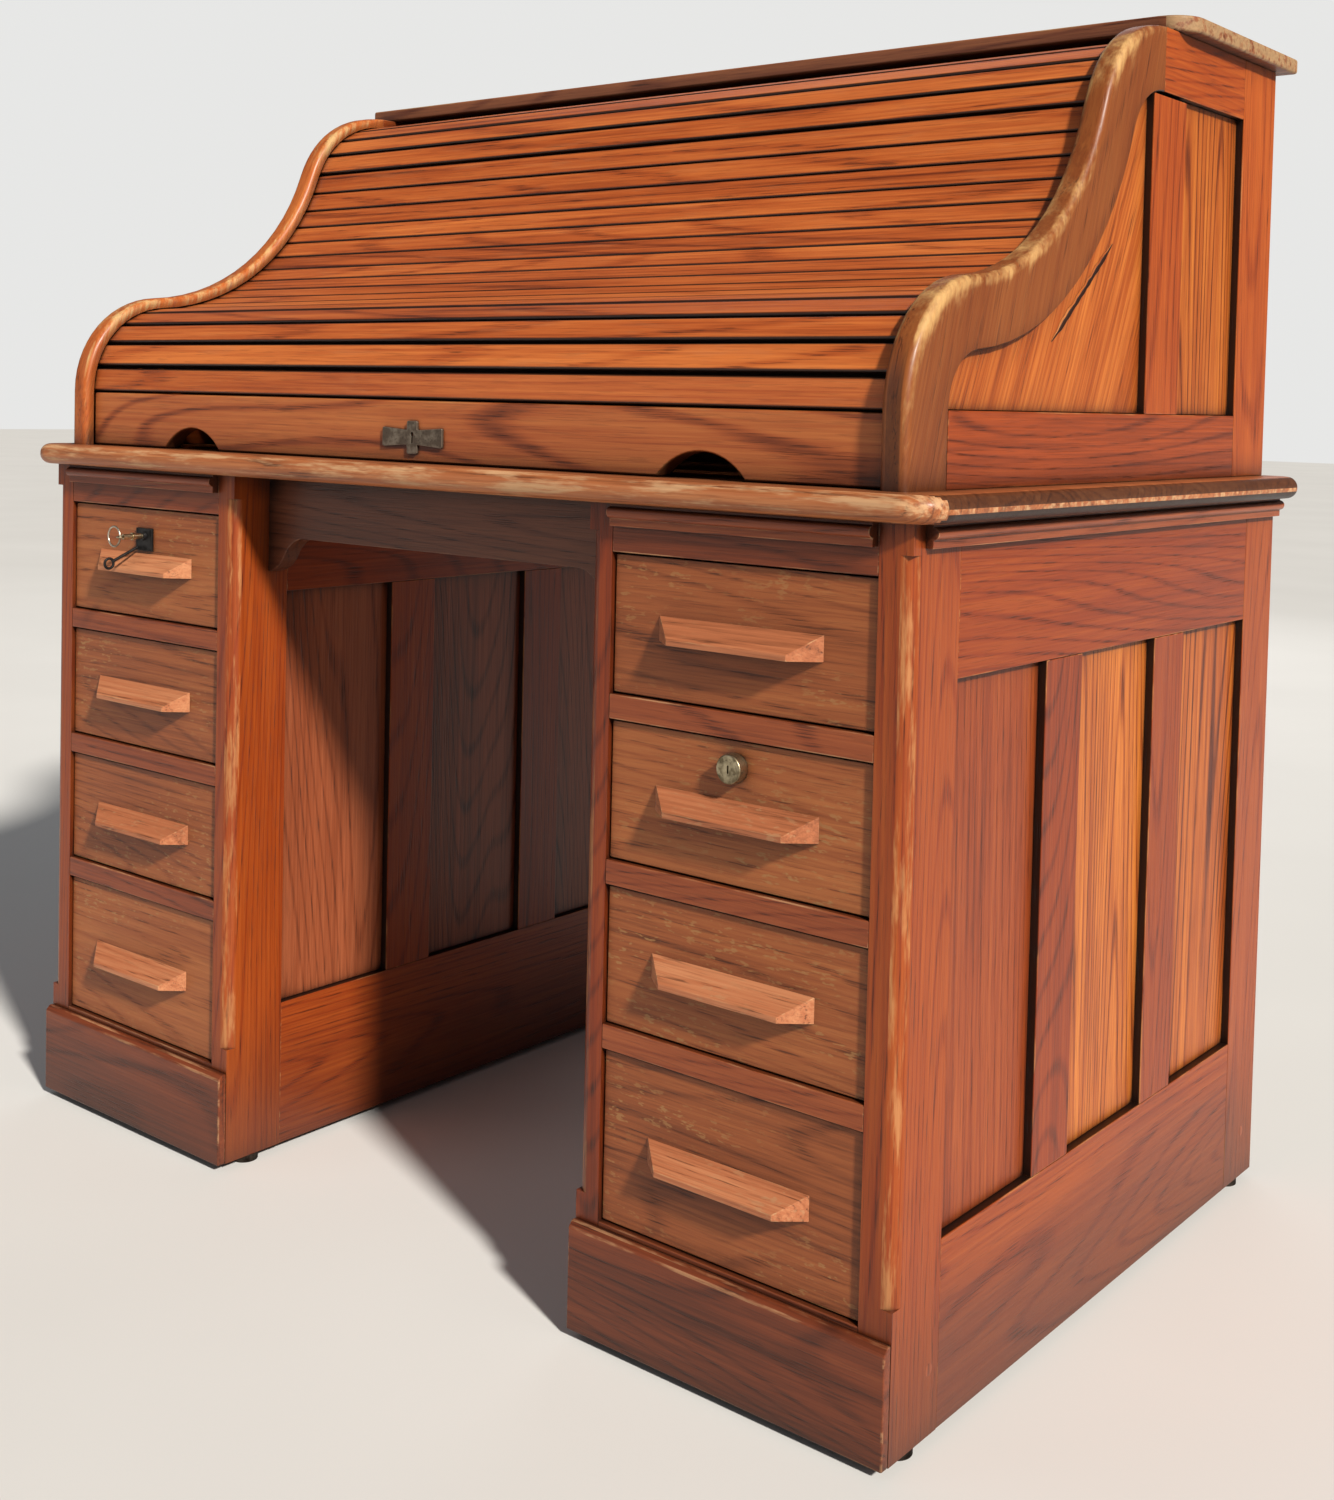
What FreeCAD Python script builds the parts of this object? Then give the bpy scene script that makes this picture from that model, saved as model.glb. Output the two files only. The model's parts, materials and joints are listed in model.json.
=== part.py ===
import FreeCAD, Part
import math
import os
import re
import Sketcher
from FreeCAD import Placement, Rotation, Vector

# Roll top desk. Millimetres, X to the right, Y to the back, Z up, origin on the floor under the middle.
DIMENSIONS = {
    # writing board
    "board_width": 1220,
    "board_front": -382,
    "board_depth": 784,
    "board_thickness": 23,
    "board_height": 769,
    "board_corner": 36,
    "board_edge": 11,
    # pedestals
    "pedestal_front": -360,
    "pedestal_depth": 743,
    "pedestal_outer": 581,
    "pedestal_inner": 251,
    "outer_frame": 31,
    "inner_frame": 26,
    "foot_height": 8,
    "foot_radius": 14,
    "front_stile": 72,
    "rear_stile": 75,
    "side_muntin": 68,
    "side_top_rail": 127,
    "side_bottom_rail": 157,
    "panel_recess": 8,
    "panel_thickness": 8,
    "stile_round": 13,
    "round_stop": 25,
    "front_top_rail": 43,
    "front_rail": 22,
    "front_rail_depth": 60,
    "small_drawer": 124,
    "large_drawer": 155,
    "back_thickness": 12,
    "runner_width": 16,
    "plinth_height": 98,
    "plinth_thickness": 10,
    "plinth_bevel": 5,
    # drawers
    "drawer_gap": 1.5,
    "drawer_recess": 4,
    "drawer_front": 20,
    "drawer_length": 640,
    "drawer_side": 12,
    "drawer_side_drop": 14,
    "drawer_bottom": 6,
    "drawer_bottom_lift": 8,
    "pull_length": 170,
    "pull_lip_length": 123,
    "pull_height": 22,
    "pull_depth": 20,
    "pull_lip": 5,
    # mouldings and apron
    "moulding_height": 20,
    "moulding_depth": 7,
    "moulding_bead": 5,
    "side_moulding_start": 17,
    "apron_setback": 46,
    "apron_thickness": 20,
    "apron_height": 66,
    "bracket_drop": 38,
    "bracket_length": 54,
    # upper case
    "upper_front": -352,
    "upper_depth": 735,
    "upper_outer": 567,
    "upper_thickness": 26,
    "upper_height": 435,
    "upright": 63,
    "lower_bend": 113,
    "lower_slope": 4.4,
    "middle_bend": 259,
    "upper_slope": 70.6,
    "upper_bend": 129,
    "member_width": 62,
    "upper_bottom_rail": 64,
    "upper_muntin_start": 430,
    "upper_muntin": 75,
    "upper_rear_stile": 85,
    "track_front": 12,
    "track_width": 14,
    "track_depth": 8,
    "track_back_gap": 21,
    "track_corner": 40,
    "top_half_width": 582,
    "top_front": 118,
    "top_depth": 288,
    "top_thickness": 16,
    "false_back_gap": 45,
    "false_back": 8,
    # pigeonholes
    "case_front": 400,
    "case_height": 340,
    "case_board": 10,
    "case_shelf": 110,
    # roll curtain
    "rail_height": 60,
    "rail_thickness": 20,
    "rail_lift": 1,
    "notch_place": 355,
    "notch_width": 95,
    "notch_height": 23,
    "canvas_line": 24,
    "slat_pitch": 27.5,
    "slat_width": 26,
    "slat_thickness": 9,
    "canvas_thickness": 1.2,
    "slat_end_gap": 1.5,
    # locks and key
    "lock_radius": 12.5,
    "lock_length": 11,
    "plate_width": 29,
    "plate_height": 25,
    "plate_thickness": 2.5,
    "key_length": 24,
    "key_radius": 3,
    "key_eye": 2.8,
    "key_eye_wire": 1.2,
    "ring_radius": 11,
    "ring_wire": 1.1,
    "hook_length": 34.7,
    "hook_wire": 1.6,
    "hook_eye": 5.5,
}
SIDES = {"left": -1, "right": 1}
ROWS = 4
SLATS = 24

document = FreeCAD.newDocument("RollTopDesk")
sheet = document.addObject("Spreadsheet::Sheet", "Dims")
for row, (alias, number) in enumerate(DIMENSIONS.items(), start=1):
    sheet.set(f"A{row}", alias)
    sheet.set(f"B{row}", str(number))
    sheet.setAlias(f"B{row}", alias)
document.recompute()
size = {alias: float(getattr(sheet, alias)) for alias in DIMENSIONS}
sub_parts = []


# ---------------------------------------------------------------- helpers

def formula(text):
    """Make an expression that reads the sheet from one written in its aliases."""
    return re.sub(r"[a-z][a-z_]*", lambda word: "Dims." + word.group(0), text)


def place(piece, corner):
    for axis, text in zip("xyz", corner):
        piece.setExpression("Placement.Base." + axis, formula(text))
    return piece


def block(name, corner, sizes):
    """A square-cut piece: its low corner and its sizes are formulas."""
    piece = document.addObject("Part::Box", name)
    for path, text in zip(("Length", "Width", "Height"), sizes):
        piece.setExpression(path, formula(text))
    return place(piece, corner)


def rod(name, centre, radius, length, axis):
    """A cylinder from centre along the given axis."""
    piece = document.addObject("Part::Cylinder", name)
    piece.setExpression("Radius", formula(radius))
    piece.setExpression("Height", formula(length))
    piece.Placement = Placement(Vector(), Rotation(Vector(0, 0, 1), axis))
    return place(piece, centre)


def cut(name, base, tool):
    piece = document.addObject("Part::Cut", name)
    piece.Base = base
    piece.Tool = tool
    return piece


def fuse(name, first, second):
    piece = document.addObject("Part::Fuse", name)
    piece.Base = first
    piece.Tool = second
    return piece


def solid(name, shape):
    piece = document.addObject("Part::Feature", name)
    piece.Shape = shape
    return piece


def node(label, pieces):
    """A named sub-part made of one or more separate solids."""
    group = document.addObject("Part::Compound", label)
    group.Label = label
    group.Links = pieces
    sub_parts.append(group)
    return group


def handed(side, start, width):
    """The low X of a piece that starts at start, going outwards, on one side of the middle."""
    if SIDES[side] > 0:
        return start
    return f"-({start}) - ({width})"


def edge_list_face(edges):
    return Part.Face(Part.Wire(edges))


def line(start, end):
    return Part.LineSegment(start, end).toShape()


def arc(centre, radius, start, end):
    """An arc in the Y-Z plane between two angles in degrees, taken through their middle."""
    points = []
    for angle in (start, (start + end) / 2, end):
        turn = math.radians(angle)
        points.append(centre + Vector(0, radius * math.cos(turn), radius * math.sin(turn)))
    return Part.Arc(*points).toShape()


# ---------------------------------------------------------------- the S curve of the upper sides

def curve_centres():
    """Centres of the three bends, in Y and Z from the foot of the S."""
    low = math.radians(size["lower_slope"])
    high = math.radians(size["upper_slope"])
    first = Vector(0, size["lower_bend"], size["upright"])
    end = first + Vector(0, -math.sin(low), math.cos(low)) * size["lower_bend"]
    second = end + Vector(0, -math.sin(low), math.cos(low)) * size["middle_bend"]
    end = second + Vector(0, math.sin(high), -math.cos(high)) * size["middle_bend"]
    straight = (size["upper_height"] - size["upper_bend"] * (1 - math.cos(high)) - end.z) / math.sin(high)
    end = end + Vector(0, math.cos(high), math.sin(high)) * straight
    third = end + Vector(0, math.sin(high), -math.cos(high)) * size["upper_bend"]
    return first, second, third


def curve_edges(inset):
    """The edges of the S curve, moved inwards by inset, from the foot to the top."""
    first, second, third = curve_centres()
    low = size["lower_slope"]
    high = size["upper_slope"]
    start = Vector(0, inset, 0)
    bends = [
        arc(first, size["lower_bend"] - inset, 180, 90 + low),
        arc(second, size["middle_bend"] + inset, 270 + low, 270 + high),
        arc(third, size["upper_bend"] - inset, 90 + high, 90),
    ]
    edges = [line(start, bends[0].Vertexes[0].Point), bends[0], bends[1]]
    edges.append(line(bends[1].Vertexes[-1].Point, bends[2].Vertexes[0].Point))
    edges.append(bends[2])
    return edges


def curve_end(edges):
    return edges[-1].Vertexes[-1].Point


def band_face(near, far):
    """The strip between two insets of the S curve."""
    outer = curve_edges(near)
    inner = curve_edges(far)
    closing = [line(curve_end(outer), curve_end(inner)), line(Vector(0, far, 0), Vector(0, near, 0))]
    return edge_list_face(outer + closing[:1] + inner[::-1] + closing[1:])


def side_outline():
    """The whole upper side seen from the end."""
    edges = curve_edges(0)
    top = curve_end(edges)
    rear_top = Vector(0, size["upper_depth"], size["upper_height"])
    rear_foot = Vector(0, size["upper_depth"], 0)
    edges += [line(top, rear_top), line(rear_top, rear_foot), line(rear_foot, Vector(0, 0, 0))]
    return edge_list_face(edges)


def track_face():
    """The curtain's groove: up the S, along the top and down behind the false back."""
    near = size["track_front"]
    far = near + size["track_width"]
    corner = size["track_corner"]
    rear = size["upper_depth"] - size["track_back_gap"]
    high = size["upper_height"] - near
    centre = Vector(0, rear - corner, high - corner)
    outer = curve_edges(near)
    inner = curve_edges(far)
    width = size["track_width"]
    outer_bend = arc(centre, corner, 90, 0)
    inner_bend = arc(centre, corner - width, 90, 0)
    outer_foot = Vector(0, rear, 0)
    inner_foot = Vector(0, rear - width, 0)
    edges = outer + [line(curve_end(outer), outer_bend.Vertexes[0].Point), outer_bend]
    edges += [line(outer_bend.Vertexes[-1].Point, outer_foot), line(outer_foot, inner_foot)]
    edges += [line(inner_foot, inner_bend.Vertexes[-1].Point), inner_bend]
    edges += [line(inner_bend.Vertexes[0].Point, curve_end(inner))] + inner[::-1]
    edges += [line(Vector(0, far, 0), Vector(0, near, 0))]
    return edge_list_face(edges)


def slab(face, start, thickness, side):
    """A face of the side pushed out along X on one side of the desk, in desk coordinates."""
    low = start if SIDES[side] > 0 else -start - thickness
    shape = face.copy()
    shape.translate(Vector(low, size["upper_front"], size["board_height"]))
    return shape.extrude(Vector(thickness, 0, 0))


def side_box(side, start, thickness, near, far, foot, top):
    low = start if SIDES[side] > 0 else -start - thickness
    corner = Vector(low, size["upper_front"] + near, size["board_height"] + foot)
    return Part.makeBox(thickness, far - near, top - foot, corner)


# ---------------------------------------------------------------- writing board and top board

def add_board():
    """The writing board: a padded rectangle with round corners and a rounded edge all round."""
    body = document.addObject("PartDesign::Body", "writing_board")
    body.Label = "writing_board"
    sketch = body.newObject("Sketcher::SketchObject", "board_outline")
    plane = [item for item in body.Origin.OriginFeatures if item.Role == "XY_Plane"][0]
    sketch.AttachmentSupport = (plane, "")
    sketch.MapMode = "FlatFace"
    corners = [Vector(0, 0, 0), Vector(1, 0, 0), Vector(1, 1, 0), Vector(0, 1, 0)]
    scale = (size["board_width"], size["board_depth"])
    points = [Vector(corner.x * scale[0], corner.y * scale[1], 0) for corner in corners]
    for index in range(4):
        sketch.addGeometry(Part.LineSegment(points[index], points[(index + 1) % 4]), False)
    for index in range(4):
        sketch.addConstraint(Sketcher.Constraint("Coincident", index, 2, (index + 1) % 4, 1))
    for index, kind in enumerate(("Horizontal", "Vertical", "Horizontal", "Vertical")):
        sketch.addConstraint(Sketcher.Constraint(kind, index))
    sketch.addConstraint(Sketcher.Constraint("Coincident", 0, 1, -1, 1))
    wide = sketch.addConstraint(Sketcher.Constraint("DistanceX", 0, 1, 0, 2, scale[0]))
    deep = sketch.addConstraint(Sketcher.Constraint("DistanceY", 1, 1, 1, 2, scale[1]))
    sketch.setExpression(f"Constraints[{wide}]", formula("board_width"))
    sketch.setExpression(f"Constraints[{deep}]", formula("board_depth"))
    pad = body.newObject("PartDesign::Pad", "board_pad")
    pad.Profile = sketch
    pad.setExpression("Length", formula("board_thickness"))
    document.recompute()
    upright = [f"Edge{number}" for number, edge in enumerate(pad.Shape.Edges, start=1)
               if abs(edge.BoundBox.ZLength - size["board_thickness"]) < 0.01]
    corner = body.newObject("PartDesign::Fillet", "board_corners")
    corner.Base = (pad, upright)
    corner.setExpression("Radius", formula("board_corner"))
    document.recompute()
    rim = [f"Edge{number}" for number, edge in enumerate(corner.Shape.Edges, start=1)
           if edge.BoundBox.ZLength < 0.01]
    edge_round = body.newObject("PartDesign::Fillet", "board_edge_round")
    edge_round.Base = (corner, rim)
    edge_round.setExpression("Radius", formula("board_edge"))
    body.Tip = edge_round
    place(body, ("-board_width / 2", "board_front", "board_height - board_thickness"))
    sub_parts.append(body)


def add_top_board():
    slab_piece = block("top_slab",
                       ("-top_half_width", "top_front", "board_height + upper_height"),
                       ("top_half_width * 2", "top_depth", "top_thickness"))
    node("top_board", [slab_piece])


# ---------------------------------------------------------------- pedestals

UNDERSIDE = "(board_height - board_thickness)"
PANEL_WIDTH = "((pedestal_depth - front_stile - rear_stile - side_muntin * 2) / 3)"


def corner_cutter(name, side, corner_x, outward):
    """What the rounding takes off a stile's front corner, stopped short at both ends."""
    foot = "foot_height + plinth_height + round_stop"
    height = f"{UNDERSIDE} - round_stop - ({foot})"
    start = f"{corner_x} - stile_round" if outward else corner_x
    centre = f"{corner_x} - stile_round" if outward else f"{corner_x} + stile_round"
    if SIDES[side] < 0:
        centre = f"-({centre})"
    square = block(name + "_square", (handed(side, start, "stile_round"), "pedestal_front", foot),
                   ("stile_round", "stile_round", height))
    drum = rod(name + "_drum", (centre, "pedestal_front + stile_round", foot), "stile_round", height,
               Vector(0, 0, 1))
    return cut(name, square, drum)


def add_side_frame(side, name, start, thickness, outward):
    """Stiles, rails and muntins of one pedestal side."""
    label = f"{name}_{side}"
    x = handed(side, start, thickness)
    full = f"{UNDERSIDE} - foot_height"
    post = block(label + "_front_post", (x, "pedestal_front", "foot_height"),
                 (thickness, "front_stile", full))
    corner_x = f"{start} + {thickness}" if outward else start
    stile = cut(label + "_front_stile", post, corner_cutter(label + "_cutter", side, corner_x, outward))
    rear = block(label + "_rear_stile",
                 (x, "pedestal_front + pedestal_depth - rear_stile", "foot_height"),
                 (thickness, "rear_stile", full))
    inner_depth = "pedestal_depth - front_stile - rear_stile"
    low_rail = block(label + "_bottom_rail", (x, "pedestal_front + front_stile", "foot_height"),
                     (thickness, inner_depth, "side_bottom_rail"))
    top_rail = block(label + "_top_rail",
                     (x, "pedestal_front + front_stile", f"{UNDERSIDE} - side_top_rail"),
                     (thickness, inner_depth, "side_top_rail"))
    pieces = [stile, rear, low_rail, top_rail]
    opening = f"{full} - side_bottom_rail - side_top_rail"
    for count in range(2):
        y = f"pedestal_front + front_stile + {PANEL_WIDTH} * {count + 1} + side_muntin * {count}"
        pieces.append(block(f"{label}_muntin_{count + 1}", (x, y, "foot_height + side_bottom_rail"),
                            (thickness, "side_muntin", opening)))
    node(label, pieces)


def side_panels(side, name, start, thickness, outward):
    """The three flat panels of one pedestal side, set back from its show face."""
    recess = f"{thickness} - panel_recess - panel_thickness" if outward else "panel_recess"
    x = handed(side, f"{start} + {recess}", "panel_thickness")
    height = f"{UNDERSIDE} - foot_height - side_bottom_rail - side_top_rail"
    pieces = []
    for count in range(3):
        y = f"pedestal_front + front_stile + ({PANEL_WIDTH} + side_muntin) * {count}"
        pieces.append(block(f"{name}_{side}_panel_{count + 1}", (x, y, "foot_height + side_bottom_rail"),
                            ("panel_thickness", PANEL_WIDTH, height)))
    return pieces


COLUMN_START = "(pedestal_inner + inner_frame)"
COLUMN_WIDTH = "(pedestal_outer - outer_frame - pedestal_inner - inner_frame)"


def drawer_floor(row):
    """Height of the rail top under a drawer, row 1 being the highest."""
    if row < ROWS:
        return f"({UNDERSIDE} - front_top_rail - small_drawer * {row} - front_rail * {row - 1})"
    return f"({UNDERSIDE} - front_top_rail - small_drawer * 3 - front_rail * 3 - large_drawer)"


def drawer_height(row):
    return "small_drawer" if row < ROWS else "large_drawer"


def add_front_rails(side):
    x = handed(side, COLUMN_START, COLUMN_WIDTH)
    pieces = [block(f"front_top_rail_{side}", (x, "pedestal_front", f"{UNDERSIDE} - front_top_rail"),
                    (COLUMN_WIDTH, "front_rail_depth", "front_top_rail"))]
    for row in range(1, ROWS):
        pieces.append(block(f"front_rail_{side}_{row}",
                            (x, "pedestal_front", f"{drawer_floor(row)} - front_rail"),
                            (COLUMN_WIDTH, "front_rail_depth", "front_rail")))
    foot = "foot_height + plinth_height / 2"
    pieces.append(block(f"front_bottom_rail_{side}", (x, "pedestal_front", foot),
                        (COLUMN_WIDTH, "front_rail_depth", f"{drawer_floor(ROWS)} - ({foot})")))
    node(f"front_rails_{side}", pieces)


def runners(side):
    """Two strips under each drawer, from the front rails to the pedestal's back."""
    length = "pedestal_depth - back_thickness - front_rail_depth"
    far = f"{COLUMN_START} + {COLUMN_WIDTH} - runner_width"
    pieces = []
    for row in range(1, ROWS + 1):
        for place_name, start in (("inner", COLUMN_START), ("outer", far)):
            corner = (handed(side, start, "runner_width"), "pedestal_front + front_rail_depth",
                      f"{drawer_floor(row)} - front_rail")
            pieces.append(block(f"runner_{side}_{row}_{place_name}", corner,
                                ("runner_width", length, "front_rail")))
    return pieces


def add_pedestal_backs():
    boards = []
    for side in SIDES:
        corner = (handed(side, COLUMN_START, COLUMN_WIDTH),
                  "pedestal_front + pedestal_depth - back_thickness", "foot_height")
        boards.append(block(f"back_board_{side}", corner,
                            (COLUMN_WIDTH, "back_thickness", f"{UNDERSIDE} - foot_height")))
    node("pedestal_backs", boards)


def add_plinth(side):
    """A board across the front of a pedestal, its top edge bevelled."""
    width = "pedestal_outer - pedestal_inner"
    x = handed(side, "pedestal_inner", width)
    y = "pedestal_front - plinth_thickness"
    lower = block(f"plinth_lower_{side}", (x, y, "foot_height"),
                  (width, "plinth_thickness", "plinth_height - plinth_bevel"))
    bevel = document.addObject("Part::Wedge", f"plinth_bevel_{side}")
    for path, text in (("Xmin", "0"), ("Xmax", width), ("X2min", "0"), ("X2max", width),
                       ("Ymin", "0"), ("Ymax", "plinth_bevel"), ("Zmin", "0"),
                       ("Zmax", "plinth_thickness"), ("Z2min", "0"),
                       ("Z2max", "plinth_thickness - plinth_bevel")):
        bevel.setExpression(path, formula(text))
    bevel.Placement = Placement(Vector(), Rotation(Vector(1, 0, 0), 90))
    place(bevel, (x, "pedestal_front", "foot_height + plinth_height - plinth_bevel"))
    node(f"plinth_{side}", [fuse(f"plinth_board_{side}", lower, bevel)])


def add_feet():
    """Low round feet, two under each stile line of each pedestal."""
    pieces = []
    for side in SIDES:
        for name, start in (("inner", "pedestal_inner + inner_frame / 2"),
                            ("outer", "pedestal_outer - outer_frame / 2")):
            x = start if SIDES[side] > 0 else f"-({start})"
            for end, y in (("front", "pedestal_front + front_stile / 2"),
                           ("rear", "pedestal_front + pedestal_depth - rear_stile / 2")):
                pieces.append(rod(f"foot_{side}_{name}_{end}", (x, y, "0"), "foot_radius", "foot_height",
                                  Vector(0, 0, 1)))
    node("feet", pieces)


# ---------------------------------------------------------------- mouldings and apron

def front_mouldings():
    pieces = []
    for side in SIDES:
        clearance = 2
        x = handed(side, f"{COLUMN_START} + {clearance}", f"{COLUMN_WIDTH} - {2 * clearance}")
        width = f"{COLUMN_WIDTH} - {2 * clearance}"
        z = f"{UNDERSIDE} - moulding_height"
        strip = block(f"front_strip_{side}", (x, "pedestal_front - moulding_depth", z),
                      (width, "moulding_depth", "moulding_height"))
        bead = rod(f"front_bead_{side}",
                   (x, "pedestal_front - moulding_depth", f"{z} + moulding_height / 2 + 2"),
                   "moulding_bead", width, Vector(1, 0, 0))
        pieces.append(fuse(f"front_moulding_{side}", strip, bead))
    return pieces


def side_mouldings():
    pieces = []
    for side in SIDES:
        length = "pedestal_depth - side_moulding_start"
        x = handed(side, "pedestal_outer", "moulding_depth")
        y = "pedestal_front + side_moulding_start"
        z = f"{UNDERSIDE} - moulding_height"
        strip = block(f"side_strip_{side}", (x, y, z), ("moulding_depth", length, "moulding_height"))
        face = "pedestal_outer + moulding_depth"
        face = face if SIDES[side] > 0 else f"-({face})"
        bead = rod(f"side_bead_{side}", (face, y, f"{z} + moulding_height / 2 + 2"), "moulding_bead",
                   length, Vector(0, 1, 0))
        pieces.append(fuse(f"side_moulding_{side}", strip, bead))
    return pieces


def add_apron():
    """The board across the kneehole, its lower edge falling in ogee brackets at both ends."""
    half = size["pedestal_inner"]
    top = size["board_height"] - size["board_thickness"]
    low = top - size["apron_height"]
    drop = size["bracket_drop"]
    reach = size["bracket_length"]
    y = size["pedestal_front"] + size["apron_setback"]

    def point(x, z):
        return Vector(x, y, z)

    def ogee(sign):
        """From the tip on the pedestal up to the straight lower edge: a hollow, then a round."""
        tip = point(sign * half, low - drop)
        middle = point(sign * (half - reach / 2), low - drop / 2)
        end = point(sign * (half - reach), low)
        bulge = drop / 6
        hollow = Part.Arc(tip, (tip + middle) / 2 + Vector(sign * bulge / 2, 0, -bulge), middle).toShape()
        swell = Part.Arc(middle, (middle + end) / 2 + Vector(-sign * bulge / 2, 0, bulge), end).toShape()
        return tip, end, [hollow, swell]

    left_tip, left_end, left_bracket = ogee(-1)
    right_tip, right_end, right_bracket = ogee(1)
    edges = left_bracket + [line(left_end, right_end)] + right_bracket[::-1]
    edges += [line(right_tip, point(half, top)), line(point(half, top), point(-half, top))]
    edges += [line(point(-half, top), left_tip)]
    shape = edge_list_face(edges).extrude(Vector(0, size["apron_thickness"], 0))
    node("kneehole_apron", [solid("apron_board", shape)])


# ---------------------------------------------------------------- drawers

def add_drawer(side, row):
    """Front, two sides, back and bottom of one drawer."""
    name = f"drawer_{side}_{row}"
    gap = "drawer_gap"
    width = f"{COLUMN_WIDTH} - {gap} * 2"
    x = handed(side, f"{COLUMN_START} + {gap}", width)
    z = f"{drawer_floor(row)} + {gap}"
    height = f"{drawer_height(row)} - {gap} * 2"
    front = block(name + "_front", (x, "pedestal_front + drawer_recess", z), (width, "drawer_front", height))
    y = "pedestal_front + drawer_recess + drawer_front"
    wall = f"{height} - drawer_side_drop"
    length = "drawer_length - drawer_front"
    far = f"{COLUMN_START} + {COLUMN_WIDTH} - {gap} - drawer_side"
    near_side = block(name + "_side_inner", (handed(side, f"{COLUMN_START} + {gap}", "drawer_side"), y, z),
                      ("drawer_side", length, wall))
    far_side = block(name + "_side_outer", (handed(side, far, "drawer_side"), y, z),
                     ("drawer_side", length, wall))
    inside = f"{width} - drawer_side * 2"
    inner_x = f"{x} + drawer_side"
    back = block(name + "_back",
                 (inner_x, "pedestal_front + drawer_recess + drawer_length - drawer_side",
                  f"{z} + drawer_bottom_lift"),
                 (inside, "drawer_side", f"{wall} - drawer_bottom_lift"))
    bottom = block(name + "_bottom", (inner_x, y, f"{z} + drawer_bottom_lift"),
                   (inside, f"{length} - drawer_side", "drawer_bottom"))
    node(name, [front, near_side, far_side, back, bottom])


def add_pull(side, row):
    """A wedge with hipped ends: flush at the top, a lip at the bottom, hollowed below for the fingers."""
    name = f"pull_{side}_{row}"
    wedge = document.addObject("Part::Wedge", name + "_wedge")
    hip = "(pull_length - pull_lip_length) / 2"
    for path, text in (("Xmin", "0"), ("Xmax", "pull_length"), ("X2min", hip),
                       ("X2max", f"pull_length - {hip}"), ("Ymin", "0"), ("Ymax", "pull_depth"),
                       ("Zmin", "0"), ("Zmax", "pull_height"), ("Z2min", "0"), ("Z2max", "pull_lip")):
        wedge.setExpression(path, formula(text))
    wedge.Placement = Placement(Vector(), Rotation(Vector(0, 0, 1), 180))
    start = f"{COLUMN_START} + {COLUMN_WIDTH} / 2 + pull_length / 2"
    if SIDES[side] < 0:
        start = f"-({COLUMN_START} + {COLUMN_WIDTH} / 2) + pull_length / 2"
    z = f"{drawer_floor(row)} + {drawer_height(row)} / 2 - pull_height / 2"
    place(wedge, (start, "pedestal_front + drawer_recess", z))
    hollow = rod(name + "_hollow",
                 (f"{start} - pull_length + {hip}", "pedestal_front + drawer_recess - pull_depth * 0.45", f"{z} - 3"),
                 "pull_depth * 0.38", "pull_lip_length", Vector(1, 0, 0))
    node(name, [cut(name + "_body", wedge, hollow)])


# ---------------------------------------------------------------- upper case

def add_upper_side(side):
    """S member, bottom rail, muntin, top rail and rear stile, grooved for the curtain."""
    start = size["upper_outer"] - size["upper_thickness"]
    thickness = size["upper_thickness"]
    member = size["member_width"]
    rail = size["upper_bottom_rail"]
    depth = size["upper_depth"]
    height = size["upper_height"]
    muntin = size["upper_muntin_start"]
    rear = depth - size["upper_rear_stile"]
    top = height - member
    top_start = curve_end(curve_edges(0)).y
    groove = slab(track_face(), start, size["track_depth"], side)
    band = slab(band_face(0, member), start, thickness, side)
    post = side_box(side, start, thickness, muntin, muntin + size["upper_muntin"], rail, top)
    pieces = {
        "s_member": band,
        "bottom_rail": side_box(side, start, thickness, member, rear, 0, rail),
        "muntin": post.cut(band),
        "top_rail": side_box(side, start, thickness, top_start, rear, top, height),
        "rear_stile": side_box(side, start, thickness, rear, depth, 0, height),
    }
    node(f"upper_side_{side}",
         [solid(f"upper_{name}_{side}", shape.cut(groove)) for name, shape in pieces.items()])


def upper_panels(side):
    """The curved panel behind the S member and the plain one beside the rear stile."""
    start = size["upper_outer"] - size["panel_recess"] - size["panel_thickness"]
    thickness = size["panel_thickness"]
    member = size["member_width"]
    top = size["upper_height"] - member
    rail = size["upper_bottom_rail"]
    muntin = size["upper_muntin_start"]
    rear = size["upper_depth"] - size["upper_rear_stile"]
    within = slab(side_outline(), start, thickness, side)
    band = slab(band_face(0, member), start, thickness, side)
    curved = side_box(side, start, thickness, member, muntin, rail, top).common(within).cut(band)
    plain = side_box(side, start, thickness, muntin + size["upper_muntin"], rear, rail, top)
    return [solid(f"curved_panel_{side}", curved), solid(f"plain_panel_{side}", plain)]


INNER_HALF = "(upper_outer - upper_thickness)"


def add_upper_back():
    corner = (f"-{INNER_HALF}", "upper_front + upper_depth - back_thickness", "board_height")
    board = block("upper_back_board", corner, (f"{INNER_HALF} * 2", "back_thickness", "upper_height"))
    node("upper_back", [board])


def add_false_back():
    """The thin board that keeps the open curtain's space clear of what lies in the desk."""
    corner = (f"-{INNER_HALF}", "upper_front + upper_depth - false_back_gap - false_back", "board_height")
    board = block("false_back_board", corner,
                  (f"{INNER_HALF} * 2", "false_back", "case_height"))
    node("false_back", [board])


CASE_DEPTH = "(upper_depth - false_back_gap - false_back - case_front)"
BAYS = 8


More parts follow.
